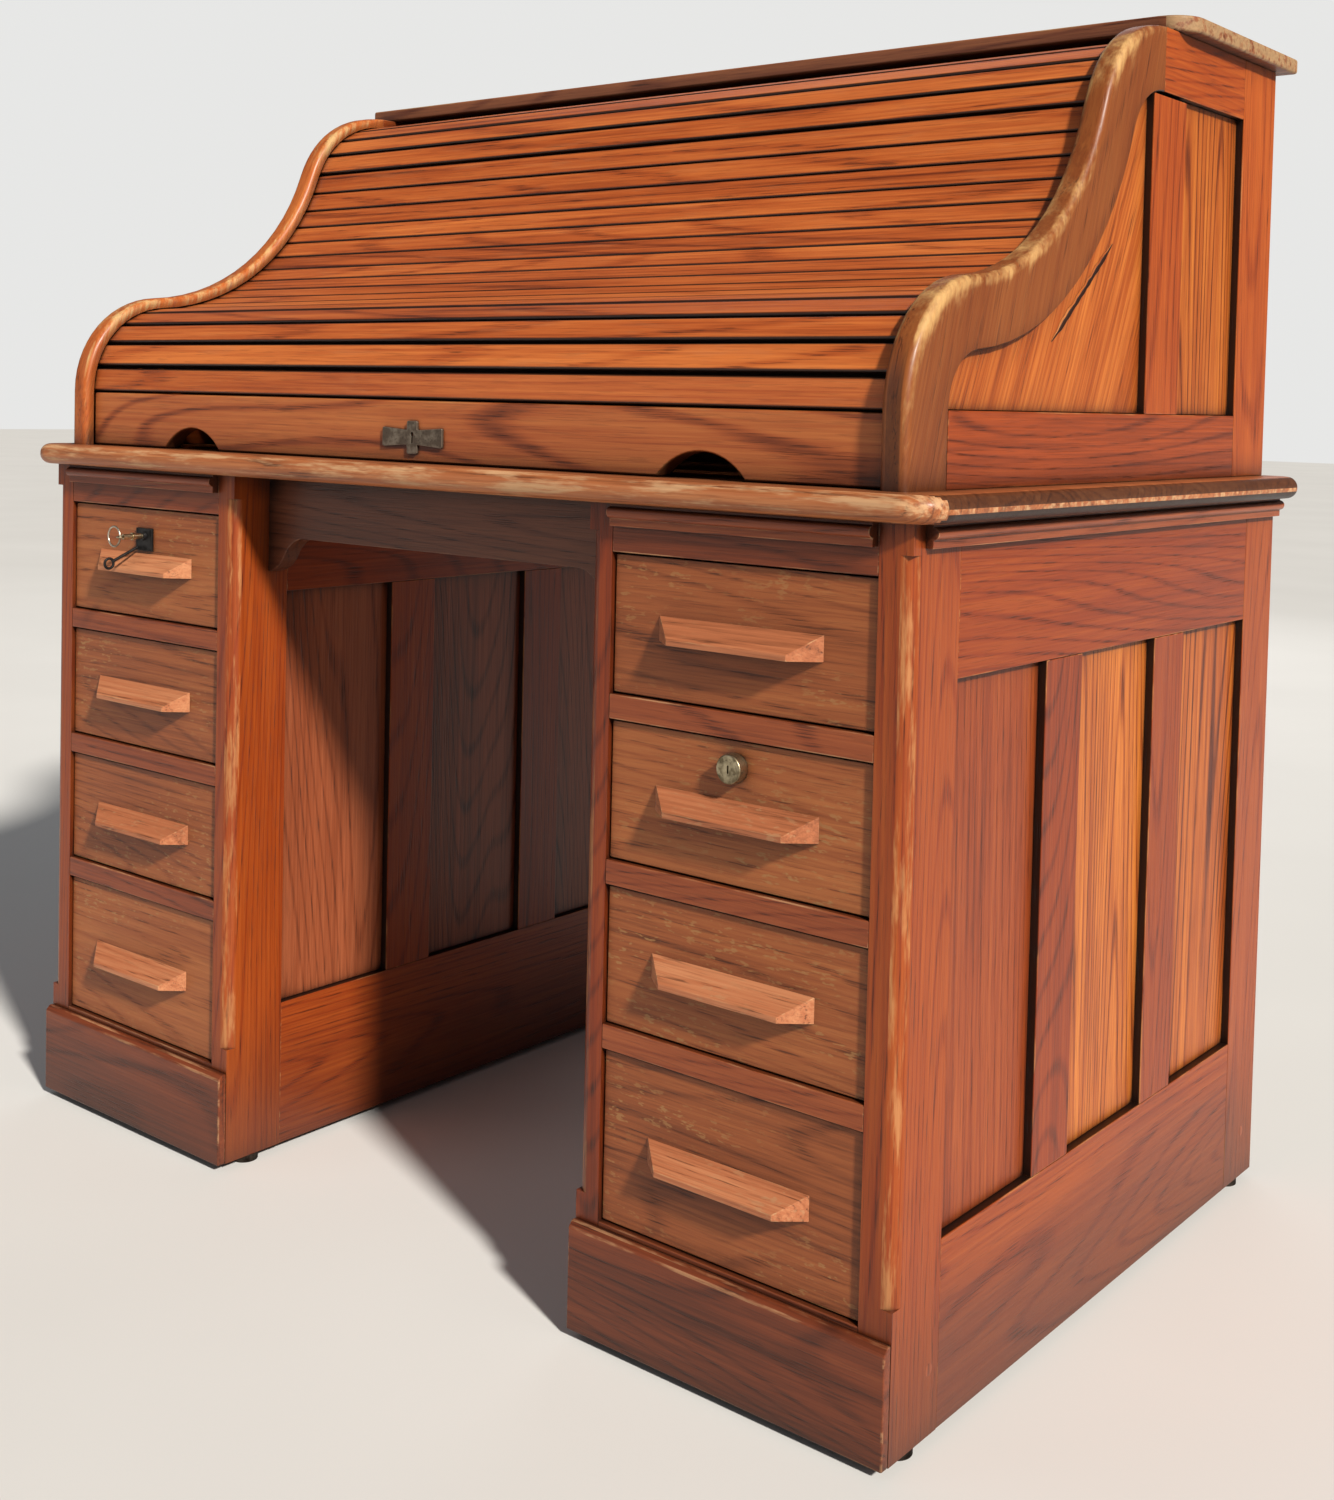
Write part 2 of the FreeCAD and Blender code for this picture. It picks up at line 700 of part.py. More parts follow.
def add_pigeonholes():
    """An open-fronted case with a shelf, and the upright dividers that make its bays."""
    y = "upper_front + case_front"
    full = f"{INNER_HALF} * 2"
    inner = f"({INNER_HALF} * 2 - case_board * 2)"
    boards = [
        block("case_floor", (f"-{INNER_HALF}", y, "board_height"), (full, CASE_DEPTH, "case_board")),
        block("case_top", (f"-{INNER_HALF}", y, "board_height + case_height - case_board"),
              (full, CASE_DEPTH, "case_board")),
        block("case_shelf_board", (f"-{INNER_HALF} + case_board", y, "board_height + case_shelf"),
              (inner, CASE_DEPTH, "case_board")),
    ]
    for side in SIDES:
        x = handed(side, f"{INNER_HALF} - case_board", "case_board")
        boards.append(block(f"case_end_{side}", (x, y, "board_height + case_board"),
                            ("case_board", CASE_DEPTH, "case_height - case_board * 2")))
    node("pigeonhole_case", boards)
    dividers = []
    pitch = f"({inner} + case_board) / {BAYS}"
    for count in range(1, BAYS):
        x = f"-{INNER_HALF} + {pitch} * {count}"
        dividers.append(block(f"divider_{count}", (x, y, "board_height + case_shelf + case_board"),
                              ("case_board", CASE_DEPTH, "case_height - case_shelf - case_board * 2")))
    for count in (2, 4, 6):
        x = f"-{INNER_HALF} + {pitch} * {count}"
        dividers.append(block(f"lower_divider_{count}", (x, y, "board_height + case_board"),
                              ("case_board", CASE_DEPTH, "case_shelf - case_board")))
    node("pigeonhole_dividers", dividers)


# ---------------------------------------------------------------- roll curtain

def curtain_frame(distance):
    """Point and slope, in radians, on the canvas line at a distance from its foot."""
    inset = size["canvas_line"]
    first, second, third = curve_centres()
    low = math.radians(size["lower_slope"])
    high = math.radians(size["upper_slope"])
    edges = curve_edges(inset)
    lengths = [edge.Length for edge in edges]
    if distance < lengths[0]:
        return Vector(0, inset, distance), math.pi / 2
    distance -= lengths[0]
    if distance < lengths[1]:
        slope = math.pi / 2 - distance / (size["lower_bend"] - inset)
        return first + Vector(0, -math.sin(slope), math.cos(slope)) * (size["lower_bend"] - inset), slope
    distance -= lengths[1]
    if distance < lengths[2]:
        slope = low + distance / (size["middle_bend"] + inset)
        return second + Vector(0, math.sin(slope), -math.cos(slope)) * (size["middle_bend"] + inset), slope
    distance -= lengths[2]
    if distance < lengths[3]:
        start = edges[3].Vertexes[0].Point
        return start + Vector(0, math.cos(high), math.sin(high)) * distance, high
    distance -= lengths[3]
    slope = high - distance / (size["upper_bend"] - inset)
    if slope > 0:
        return third + Vector(0, -math.sin(slope), math.cos(slope)) * (size["upper_bend"] - inset), slope
    run = distance - lengths[4]
    return Vector(0, third.y + run, size["upper_height"] - inset), 0.0


def curtain_placement(distance):
    """Y of the placed piece runs up the curtain, Z points out of the desk."""
    point, slope = curtain_frame(distance)
    base = point + Vector(0, size["upper_front"], size["board_height"])
    return Placement(base, Rotation(Vector(1, 0, 0), math.degrees(slope)))


def strip(name, half, along, low, thickness, placement):
    """A lath centred on the placement, from half the width each way."""
    piece = document.addObject("Part::Box", name)
    piece.setExpression("Length", formula(f"({half}) * 2"))
    piece.setExpression("Width", formula(along))
    piece.setExpression("Height", formula(thickness))
    reach = size["upper_outer"] - size["upper_thickness"] + size["track_depth"] - size["slat_end_gap"]
    offset = Vector(-reach, -size["slat_width"] / 2, low)
    piece.Placement = placement.multiply(Placement(offset, Rotation()))
    return piece


def add_slats():
    """The slats in pairs, each slat with its strip of canvas behind it."""
    half = "upper_outer - upper_thickness + track_depth - slat_end_gap"
    start = size["rail_lift"] + size["rail_height"]
    for pair in range(SLATS // 2):
        pieces = []
        for slat in (2 * pair, 2 * pair + 1):
            middle = curtain_placement(start + size["slat_pitch"] * (slat + 0.5))
            name = f"slat_{slat + 1:02d}"
            canvas = size["canvas_thickness"]
            pieces.append(strip(name, half, "slat_width", canvas, "slat_thickness", middle))
            pieces.append(strip(name + "_canvas", half, "slat_width", 0, "canvas_thickness", middle))
        node(f"slats_{2 * pair + 1:02d}_{2 * pair + 2:02d}", pieces)


def add_curtain_rail():
    """The leading rail, with two half-round finger notches in its lower edge."""
    front = "upper_front + track_front + 1"
    foot = "board_height + rail_lift"
    gap = 0.5
    board = block("rail_board", (f"-{INNER_HALF} + {gap}", front, foot),
                  (f"{INNER_HALF} * 2 - {2 * gap}", "rail_thickness", "rail_height"))
    radius = "((notch_width * notch_width / 4 + notch_height * notch_height) / (2 * notch_height))"
    for side in SIDES:
        x = "notch_place" if SIDES[side] > 0 else "-notch_place"
        drum = rod(f"notch_{side}", (x, f"{front} - 1", f"{foot} + notch_height - {radius}"), radius,
                   "rail_thickness + 2", Vector(0, 1, 0))
        board = cut(f"rail_notched_{side}", board, drum)
    node("curtain_rail", [board])


# ---------------------------------------------------------------- locks and key

def outline_plate(points, thickness, base, rounded):
    """A flat plate facing the front, from its outline in X and Z, with rounded upright edges."""
    corners = [Vector(x, 0, z) for x, z in points]
    face = edge_list_face([line(first, second) for first, second in zip(corners, corners[1:] + corners[:1])])
    plate = face.extrude(Vector(0, thickness, 0))
    edges = [edge for edge in plate.Edges if abs(edge.BoundBox.YLength - thickness) < 0.01]
    plate = plate.makeFillet(rounded, edges)
    plate.translate(base)
    return plate


def add_escutcheon():
    """A cross: two wide wings and a tall narrow keyhole boss."""
    wing = 42
    wing_tip = 9.5
    wing_root = 7
    boss = 7
    boss_height = 16
    points = [(-wing, -wing_tip), (-boss, -wing_root), (-boss, -boss_height), (boss, -boss_height),
              (boss, -wing_root), (wing, -wing_tip), (wing, wing_tip), (boss, wing_root),
              (boss, boss_height), (-boss, boss_height), (-boss, wing_root), (-wing, wing_tip)]
    thickness = 2.5
    face_y = size["upper_front"] + size["track_front"] + 1
    height = size["board_height"] + size["rail_lift"] + size["rail_height"] * 0.4
    centre = Vector(0, face_y - thickness, height)
    plate = outline_plate(points, thickness, centre, 1.5)
    hole = Part.makeCylinder(2.2, thickness, centre + Vector(0, 0, 3), Vector(0, 1, 0))
    slot = Part.makeBox(2.4, thickness, 9, centre + Vector(-1.2, 0, -6))
    node("escutcheon", [solid("escutcheon_plate", plate.cut(hole.fuse(slot)))])


def drawer_middle(side):
    start = size["pedestal_inner"] + size["inner_frame"]
    width = size["pedestal_outer"] - size["outer_frame"] - start
    return SIDES[side] * (start + width / 2)


def row_top(row):
    return (size["board_height"] - size["board_thickness"] - size["front_top_rail"]
            - (row - 1) * (size["small_drawer"] + size["front_rail"]))


def add_cylinder_lock():
    """A round lock barrel standing out of the second right drawer."""
    centre = Vector(drawer_middle("right"), size["pedestal_front"] + size["drawer_recess"], row_top(2) - 24)
    out = Vector(0, -1, 0)
    barrel = Part.makeCylinder(size["lock_radius"], size["lock_length"], centre, out)
    front = [edge for edge in barrel.Edges if abs(edge.BoundBox.YMin - centre.y + size["lock_length"]) < 0.01
             and edge.BoundBox.YLength < 0.01]
    barrel = barrel.makeFillet(1.5, front)
    slot = Part.makeBox(1.6, 4, 7, centre + Vector(-0.8, -size["lock_length"], -3.5))
    node("cylinder_lock", [solid("lock_barrel", barrel.cut(slot))])


def plate_centre():
    height = row_top(1) - size["small_drawer"] / 2 + size["pull_height"] / 2 + size["plate_height"] / 2 + 3
    return Vector(drawer_middle("left"), size["pedestal_front"] + size["drawer_recess"], height)


def add_lock_plate():
    """A black plate over the pull of the first left drawer, with a boss for the key."""
    centre = plate_centre()
    half = Vector(size["plate_width"] / 2, 0, size["plate_height"] / 2)
    plate = Part.makeBox(size["plate_width"], size["plate_thickness"], size["plate_height"],
                         centre - half - Vector(0, size["plate_thickness"], 0))
    boss = Part.makeCylinder(size["key_radius"] + 2, 3, centre + Vector(0, -size["plate_thickness"], 4),
                             Vector(0, -1, 0))
    node("lock_plate", [solid("lock_plate_body", plate.fuse(boss).removeSplitter())])


def add_key():
    """The key's barrel with an eye at its end, and the wire ring that lies sideways in the eye."""
    boss = 3
    out = Vector(0, -1, 0)
    start = plate_centre() + out * (size["plate_thickness"] + boss) + Vector(0, 0, 4)
    stem = Part.makeCylinder(size["key_radius"], size["key_length"], start, out)
    collar = Part.makeCylinder(size["key_radius"] + 1.2, 3, start + out * (size["key_length"] * 0.4), out)
    eye_centre = start + out * (size["key_length"] + size["key_eye"] + 0.6)
    eye = Part.makeTorus(size["key_eye"], size["key_eye_wire"], eye_centre, Vector(0, 0, 1))
    node("key", [solid("key_body", stem.fuse(collar).fuse(eye).removeSplitter())])
    ring_centre = eye_centre - Vector(size["ring_radius"], 0, 0)
    ring = Part.makeTorus(size["ring_radius"], size["ring_wire"], ring_centre, out)
    node("key_ring", [solid("key_ring_wire", ring)])


def add_hook():
    """A dark wire hook fixed in the plate's lower corner, ending in a small eye."""
    root = plate_centre() + Vector(4 - size["plate_width"] / 2, -size["plate_thickness"] - 1.2,
                                   3 - size["plate_height"] / 2)
    reach = Vector(0, -1, -0.45)
    reach.normalize()
    wire = Part.makeCylinder(size["hook_wire"], size["hook_length"], root, reach)
    eye_centre = root + reach * (size["hook_length"] + size["hook_eye"] - 1)
    eye = Part.makeTorus(size["hook_eye"], size["hook_wire"] - 0.1, eye_centre, Vector(1, 0, 0))
    node("hook", [solid("hook_body", wire.fuse(eye).removeSplitter())])


# ---------------------------------------------------------------- the desk

def build():
    add_board()
    add_top_board()
    kneehole_panels = []
    outer_panels = []
    side_panels_above = []
    for side in SIDES:
        add_side_frame(side, "inner_frame", "pedestal_inner", "inner_frame", False)
        add_side_frame(side, "outer_frame", "(pedestal_outer - outer_frame)", "outer_frame", True)
        kneehole_panels += side_panels(side, "inner", "pedestal_inner", "inner_frame", False)
        outer_panels += side_panels(side, "outer", "(pedestal_outer - outer_frame)", "outer_frame", True)
        add_front_rails(side)
        add_plinth(side)
        for row in range(1, ROWS + 1):
            add_drawer(side, row)
            add_pull(side, row)
        add_upper_side(side)
        side_panels_above += upper_panels(side)
    node("kneehole_panels", kneehole_panels)
    node("outer_panels", outer_panels)
    node("upper_panels", side_panels_above)
    node("drawer_runners", runners("left") + runners("right"))
    node("mouldings", front_mouldings() + side_mouldings())
    add_pedestal_backs()
    add_feet()
    add_apron()
    add_upper_back()
    add_false_back()
    add_pigeonholes()
    add_curtain_rail()
    add_slats()
    add_escutcheon()
    add_cylinder_lock()
    add_lock_plate()
    add_key()
    add_hook()
    document.recompute()


def check_and_write():
    for item in document.Objects:
        if "Invalid" in item.State or "Error" in item.State:
            raise RuntimeError(f"{item.Label} failed: {item.State}")
    for item in sub_parts:
        if item.Shape.isNull() or not item.Shape.isValid():
            raise RuntimeError(f"{item.Label} has no valid shape")
    os.makedirs("parts", exist_ok=True)
    for item in sub_parts:
        item.Shape.exportStep(f"parts/{item.Label}.step")
    print(len(sub_parts), "sub-parts written")


build()
check_and_write()
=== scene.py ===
import json
import math
import random

import bmesh
import bpy
import numpy as np
from mathutils import Matrix, Vector

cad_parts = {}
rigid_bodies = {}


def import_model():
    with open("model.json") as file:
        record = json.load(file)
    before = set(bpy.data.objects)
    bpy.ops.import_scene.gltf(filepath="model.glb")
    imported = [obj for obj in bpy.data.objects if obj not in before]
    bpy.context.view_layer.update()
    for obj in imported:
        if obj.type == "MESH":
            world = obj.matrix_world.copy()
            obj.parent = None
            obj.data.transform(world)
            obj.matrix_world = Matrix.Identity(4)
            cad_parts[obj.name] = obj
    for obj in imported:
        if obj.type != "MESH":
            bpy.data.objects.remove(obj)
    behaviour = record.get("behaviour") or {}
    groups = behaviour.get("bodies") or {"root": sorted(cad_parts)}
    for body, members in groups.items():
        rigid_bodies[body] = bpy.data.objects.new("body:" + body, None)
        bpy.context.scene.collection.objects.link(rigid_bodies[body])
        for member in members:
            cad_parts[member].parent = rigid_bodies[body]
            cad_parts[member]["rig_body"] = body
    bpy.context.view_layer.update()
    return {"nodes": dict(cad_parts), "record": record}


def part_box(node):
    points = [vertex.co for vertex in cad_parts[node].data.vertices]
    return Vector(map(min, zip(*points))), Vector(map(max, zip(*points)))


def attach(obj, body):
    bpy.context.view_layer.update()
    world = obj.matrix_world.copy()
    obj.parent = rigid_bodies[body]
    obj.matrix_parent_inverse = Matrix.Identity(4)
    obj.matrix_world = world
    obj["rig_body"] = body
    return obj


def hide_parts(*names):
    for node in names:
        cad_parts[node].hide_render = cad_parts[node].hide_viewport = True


# Roll top desk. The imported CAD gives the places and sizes, apart from a few small details. This
# script adds the rounded edges, the wood and metal, the wear, the light and the camera.
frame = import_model()
NODES = frame["nodes"]
SLOTS = {part["node"]: part["material_slot"] for part in frame["record"]["subparts"]}
SIDES = {"left": -1, "right": 1}
MM = 0.001
ALONG_X, ALONG_Z = (1, 0, 0), (0, 0, 1)

# Lengths in metres: the slats' and the top board's rounded corners, and the rim of a side frame
# that isn't beside an opening. An edge's radius is at most a share of its board's thickness.
SLAT_ROUND = 2.6 * MM
BROKEN_CORNER = 34 * MM
FRAME_RIM = 6 * MM
LEAST_RADIUS = 0.1 * MM
MOST_OF_THICKNESS = 0.22
# Corners nearer than this are one corner, faces within this many degrees are one flat face, and
# edges sharper than this many degrees are shaded as sharp.
SAME_PLACE = 5e-6
FLAT_ANGLE = 0.4
SHARP_ANGLE = 32.0
# Canvas threads in a metre, and colours from 0 to 255: old dirt and painted shade, corner dirt and
# painted shade, and the darkening low down.
THREADS = 320.0
OLD_DIRT_AND_SHADE = (22, 10, 6)
CORNER_DIRT_AND_SHADE = (20, 10, 6)
LOW_DARK_COLOR = (60, 36, 26)


# ---------------------------------------------------------------- shader helpers

class Tree:
    """A material's node tree, with short calls for the nodes that the finishes share."""

    def __init__(self, name):
        self.material = bpy.data.materials.new(name)
        self.material.use_nodes = True
        self.tree = self.material.node_tree
        self.tree.nodes.clear()

    def put(self, socket, value):
        if isinstance(value, bpy.types.NodeSocket):
            self.tree.links.new(value, socket)
        elif socket.type == "RGBA" and len(value) == 3:
            socket.default_value = (*value, 1.0)
        else:
            socket.default_value = value

    def node(self, kind, out=0, props=(), **inputs):
        """A new node's output. Inputs go by name, or by number as i0, i1 and so on."""
        made = self.tree.nodes.new("ShaderNode" + kind)
        for key, value in dict(props).items():
            setattr(made, key, value)
        for key, value in inputs.items():
            numbered = key[0] == "i" and key[1:].isdigit()
            self.put(made.inputs[int(key[1:]) if numbered else key], value)
        return made.outputs[out]

    def attribute(self, name, out="Fac"):
        return self.node("Attribute", out=out, props={"attribute_name": name})

    def math(self, operation, a, b=0.0, clamp=False):
        return self.node("Math", props={"operation": operation, "use_clamp": clamp}, i0=a, i1=b)

    def around(self, value, amount):
        """A value from 0 to 1 as a change of up to half of amount either way."""
        return self.math("MULTIPLY", self.math("SUBTRACT", value, 0.5), amount)

    def scaled(self, vector, scale):
        return self.node("VectorMath", props={"operation": "MULTIPLY"}, i0=vector, i1=scale)

    def noise(self, vector, scale=(1, 1, 1), detail=2.0, roughness=0.5):
        return self.node("TexNoise", Vector=self.scaled(vector, scale), Scale=1.0, Detail=detail,
                         Roughness=roughness, Distortion=0.0)

    def span(self, value, low, high):
        """A smooth step from 0 where value is low to 1 where it is high."""
        made = self.tree.nodes.new("ShaderNodeMapRange")
        made.interpolation_type = "SMOOTHSTEP"
        for index, number in enumerate((value, low, high, 0.0, 1.0)):
            self.put(made.inputs[index], number)
        return made.outputs[0]

    def ramp(self, value, stops):
        made = self.tree.nodes.new("ShaderNodeValToRGB")
        elements = made.color_ramp.elements
        while len(elements) < len(stops):
            elements.new(0.5)
        for element, (place, color) in zip(elements, stops):
            element.position = place
            element.color = (*color, 1.0)
        self.put(made.inputs[0], value)
        return made.outputs[0]

    def mix(self, factor, a, b):
        made = self.tree.nodes.new("ShaderNodeMix")
        made.data_type = "RGBA"
        made.blend_type = "MIX"
        made.clamp_factor = True
        self.put(made.inputs[0], factor)
        self.put(made.inputs[6], a)
        self.put(made.inputs[7], b)
        return made.outputs[2]

    def finish(self, **inputs):
        shader = self.tree.nodes.new("ShaderNodeBsdfPrincipled")
        for key, value in inputs.items():
            self.put(shader.inputs[key.replace("_", " ")], value)
        out = self.tree.nodes.new("ShaderNodeOutputMaterial")
        self.tree.links.new(shader.outputs[0], out.inputs[0])
        return self.material

    def bump(self, height, strength, distance):
        return self.node("Bump", Height=height, Strength=strength, Distance=distance)


def srgb(red, green, blue):
    """A colour given as it is seen, 0 to 255, in linear light."""
    return tuple(((c / 255 + 0.055) / 1.055) ** 2.4 if c > 10 else c / 255 / 12.92
                 for c in (red, green, blue))


# ---------------------------------------------------------------- finishes

def wood(name, dark, mid, light, rings=60.0, figure=0.5, fibre=0.55, rough=0.40,
         worn=(206, 150, 92), wear=0.8, flecks=0.0, corner_dirt_and_shade=0.85, blotch=0.4, coat=0.12,
         darken_low=0.0, stretch=0.6, edge_reach=0.08, rub_scale=(12.0, 95.0, 95.0), rub_full=0.74):
    """Old varnished oak: contour figure, fibres, open pores, worn edges, dirt and painted shade in
    the corners.

    The mesh gives three attributes: grain is the place along and across the board, plank a
    chance tone for each board, and wear runs from -1 for old dirt and painted shade to 1 and over
    for rubbed wood.
    """
    t = Tree(name)
    grain = t.attribute("grain", "Vector")
    plank = t.attribute("plank")
    edge = t.attribute("wear")
    field = t.noise(grain, (stretch, 6.0, 6.0), detail=1.0, roughness=0.3)
    ring = t.math("PINGPONG", t.math("MULTIPLY", field, rings), 1.0)
    late = t.span(ring, 0.60, 0.98)
    streak = t.noise(grain, (6.0, 330.0, 330.0), detail=3.5, roughness=0.6)
    broad = t.noise(grain, (2.5, 60.0, 60.0), detail=2.0, roughness=0.5)
    fine = t.noise(grain, (26.0, 700.0, 700.0), detail=2.0, roughness=0.5)
    stain = t.noise(grain, (2.2, 7.0, 7.0), detail=3.0, roughness=0.6)
    open_pores = t.math("ADD", t.math("MULTIPLY", late, 0.7), 0.3)
    pores = t.math("MULTIPLY", t.span(fine, 0.47, 0.34), open_pores)
    tone = t.math("ADD", t.around(streak, fibre * 1.5), 0.60)
    tone = t.math("ADD", tone, t.around(broad, fibre * 0.9))
    tone = t.math("SUBTRACT", tone, t.math("MULTIPLY", late, figure * 0.5))
    tone = t.math("ADD", tone, t.around(stain, blotch * 1.3))
    tone = t.math("ADD", tone, t.around(plank, 0.34), clamp=True)
    color = t.ramp(tone, [(0.05, srgb(*dark)), (0.5, srgb(*mid)), (0.95, srgb(*light))])
    color = t.mix(t.math("MULTIPLY", pores, 0.6), color, srgb(*[c * 0.42 for c in dark]))
    rub = t.noise(grain, rub_scale, detail=4.0, roughness=0.68)
    reach = t.math("ADD", rub, t.math("MULTIPLY", edge, edge_reach))
    rubbed = t.math("MULTIPLY", t.span(reach, 0.54, rub_full), t.span(edge, 0.02, 0.5))
    rubbed = t.math("MULTIPLY", rubbed, wear, clamp=True)
    color = t.mix(rubbed, color, t.mix(streak, srgb(*[c * 0.7 for c in worn]), srgb(*worn)))
    if flecks:
        chips = t.noise(grain, (80.0, 260.0, 260.0), detail=2.0, roughness=0.6)
        where = t.noise(grain, (4.0, 9.0, 9.0), detail=2.0, roughness=0.6)
        spots = t.math("MULTIPLY", t.span(chips, 0.58, 0.66), t.span(where, 0.42, 0.62))
        spots = t.math("MULTIPLY", spots, flecks, clamp=True)
        color = t.mix(spots, color, srgb(*[c * 0.80 for c in worn]))
    # Negative wear is painted near-black: old dirt on the frames' opening edges and the board's
    # ends, painted shade in the slat grooves, the gouge and the S member's groove.
    color = t.mix(t.math("MULTIPLY", t.span(edge, -0.05, -0.95), 0.95), color, srgb(*OLD_DIRT_AND_SHADE))
    # Painted shade, partly corner dirt: darker where other surfaces are near, in corners and
    # recesses, by ambient occlusion.
    nearness = t.node("AmbientOcclusion", out="AO", props={"samples": 4, "only_local": False},
                      Distance=0.032)
    corner = t.math("MULTIPLY", t.span(nearness, 0.90, 0.46), corner_dirt_and_shade, clamp=True)
    color = t.mix(corner, color, srgb(*CORNER_DIRT_AND_SHADE))
    # Darker towards the bottom, below about 0.19 m, with an uneven edge.
    if darken_low:
        height = t.node("SeparateXYZ", out=2, i0=t.node("NewGeometry", out=0))
        uneven_height = t.math("ADD", height, t.around(stain, 0.16))
        low_dark = t.math("MULTIPLY", t.span(uneven_height, 0.19, 0.0), darken_low, clamp=True)
        color = t.mix(low_dark, color, srgb(*LOW_DARK_COLOR))
    shine = t.math("ADD", t.around(stain, 0.28), rough)
    shine = t.math("ADD", shine, t.math("MULTIPLY", rubbed, 0.22), clamp=True)
    relief = t.math("SUBTRACT", t.math("MULTIPLY", streak, 0.55), t.math("MULTIPLY", pores, 0.7))
    relief = t.math("SUBTRACT", relief, t.math("MULTIPLY", rubbed, 0.4))
    return t.finish(Base_Color=color, Roughness=shine, Normal=t.bump(relief, 0.5, 0.0006),
                    Coat_Weight=coat, Coat_Roughness=0.25, Specular_IOR_Level=0.30)


def metal(name, color, tarnish, rough=0.38, cover=0.5, scale=60.0, metallic=1.0):
    """Old metal: bright where it is handled, dull and pitted elsewhere."""
    t = Tree(name)
    place = t.attribute("grain", "Vector")
    edge = t.attribute("wear")
    patches = t.noise(place, (scale,) * 3, detail=4.0, roughness=0.6)
    pits = t.noise(place, (scale * 9,) * 3, detail=2.0, roughness=0.5)
    bare = t.math("SUBTRACT", patches, t.math("MULTIPLY", edge, 0.3))
    dull = t.span(bare, 0.62 - cover * 0.4, 0.72 - cover * 0.2)
    base = t.mix(dull, srgb(*color), srgb(*tarnish))
    pitted = t.math("MULTIPLY", t.span(pits, 0.42, 0.30), 0.5)
    base = t.mix(pitted, base, srgb(*[c * 0.4 for c in tarnish]))
    shine = t.math("ADD", t.math("MULTIPLY", dull, 0.26), rough, clamp=True)
    return t.finish(Base_Color=base, Metallic=metallic, Roughness=shine,
                    Normal=t.bump(pits, 0.3, 0.0002))


def cloth(name, color):
    """Plain canvas weave."""
    t = Tree(name)
    place = t.attribute("grain", "Vector")
    warp, weft = (t.node("TexWave", out=1, props={"bands_direction": axis}, Vector=place,
                         Scale=THREADS, Distortion=0.6) for axis in "XY")
    weave = t.math("MULTIPLY", warp, weft)
    stain = t.noise(place, (12.0,) * 3, detail=3.0)
    base = t.mix(weave, srgb(*[c * 0.6 for c in color]), srgb(*color))
    base = t.mix(t.math("MULTIPLY", stain, 0.4), base, srgb(*[c * 0.5 for c in color]))
    return t.finish(Base_Color=base, Roughness=0.9, Normal=t.bump(weave, 0.4, 0.0003))


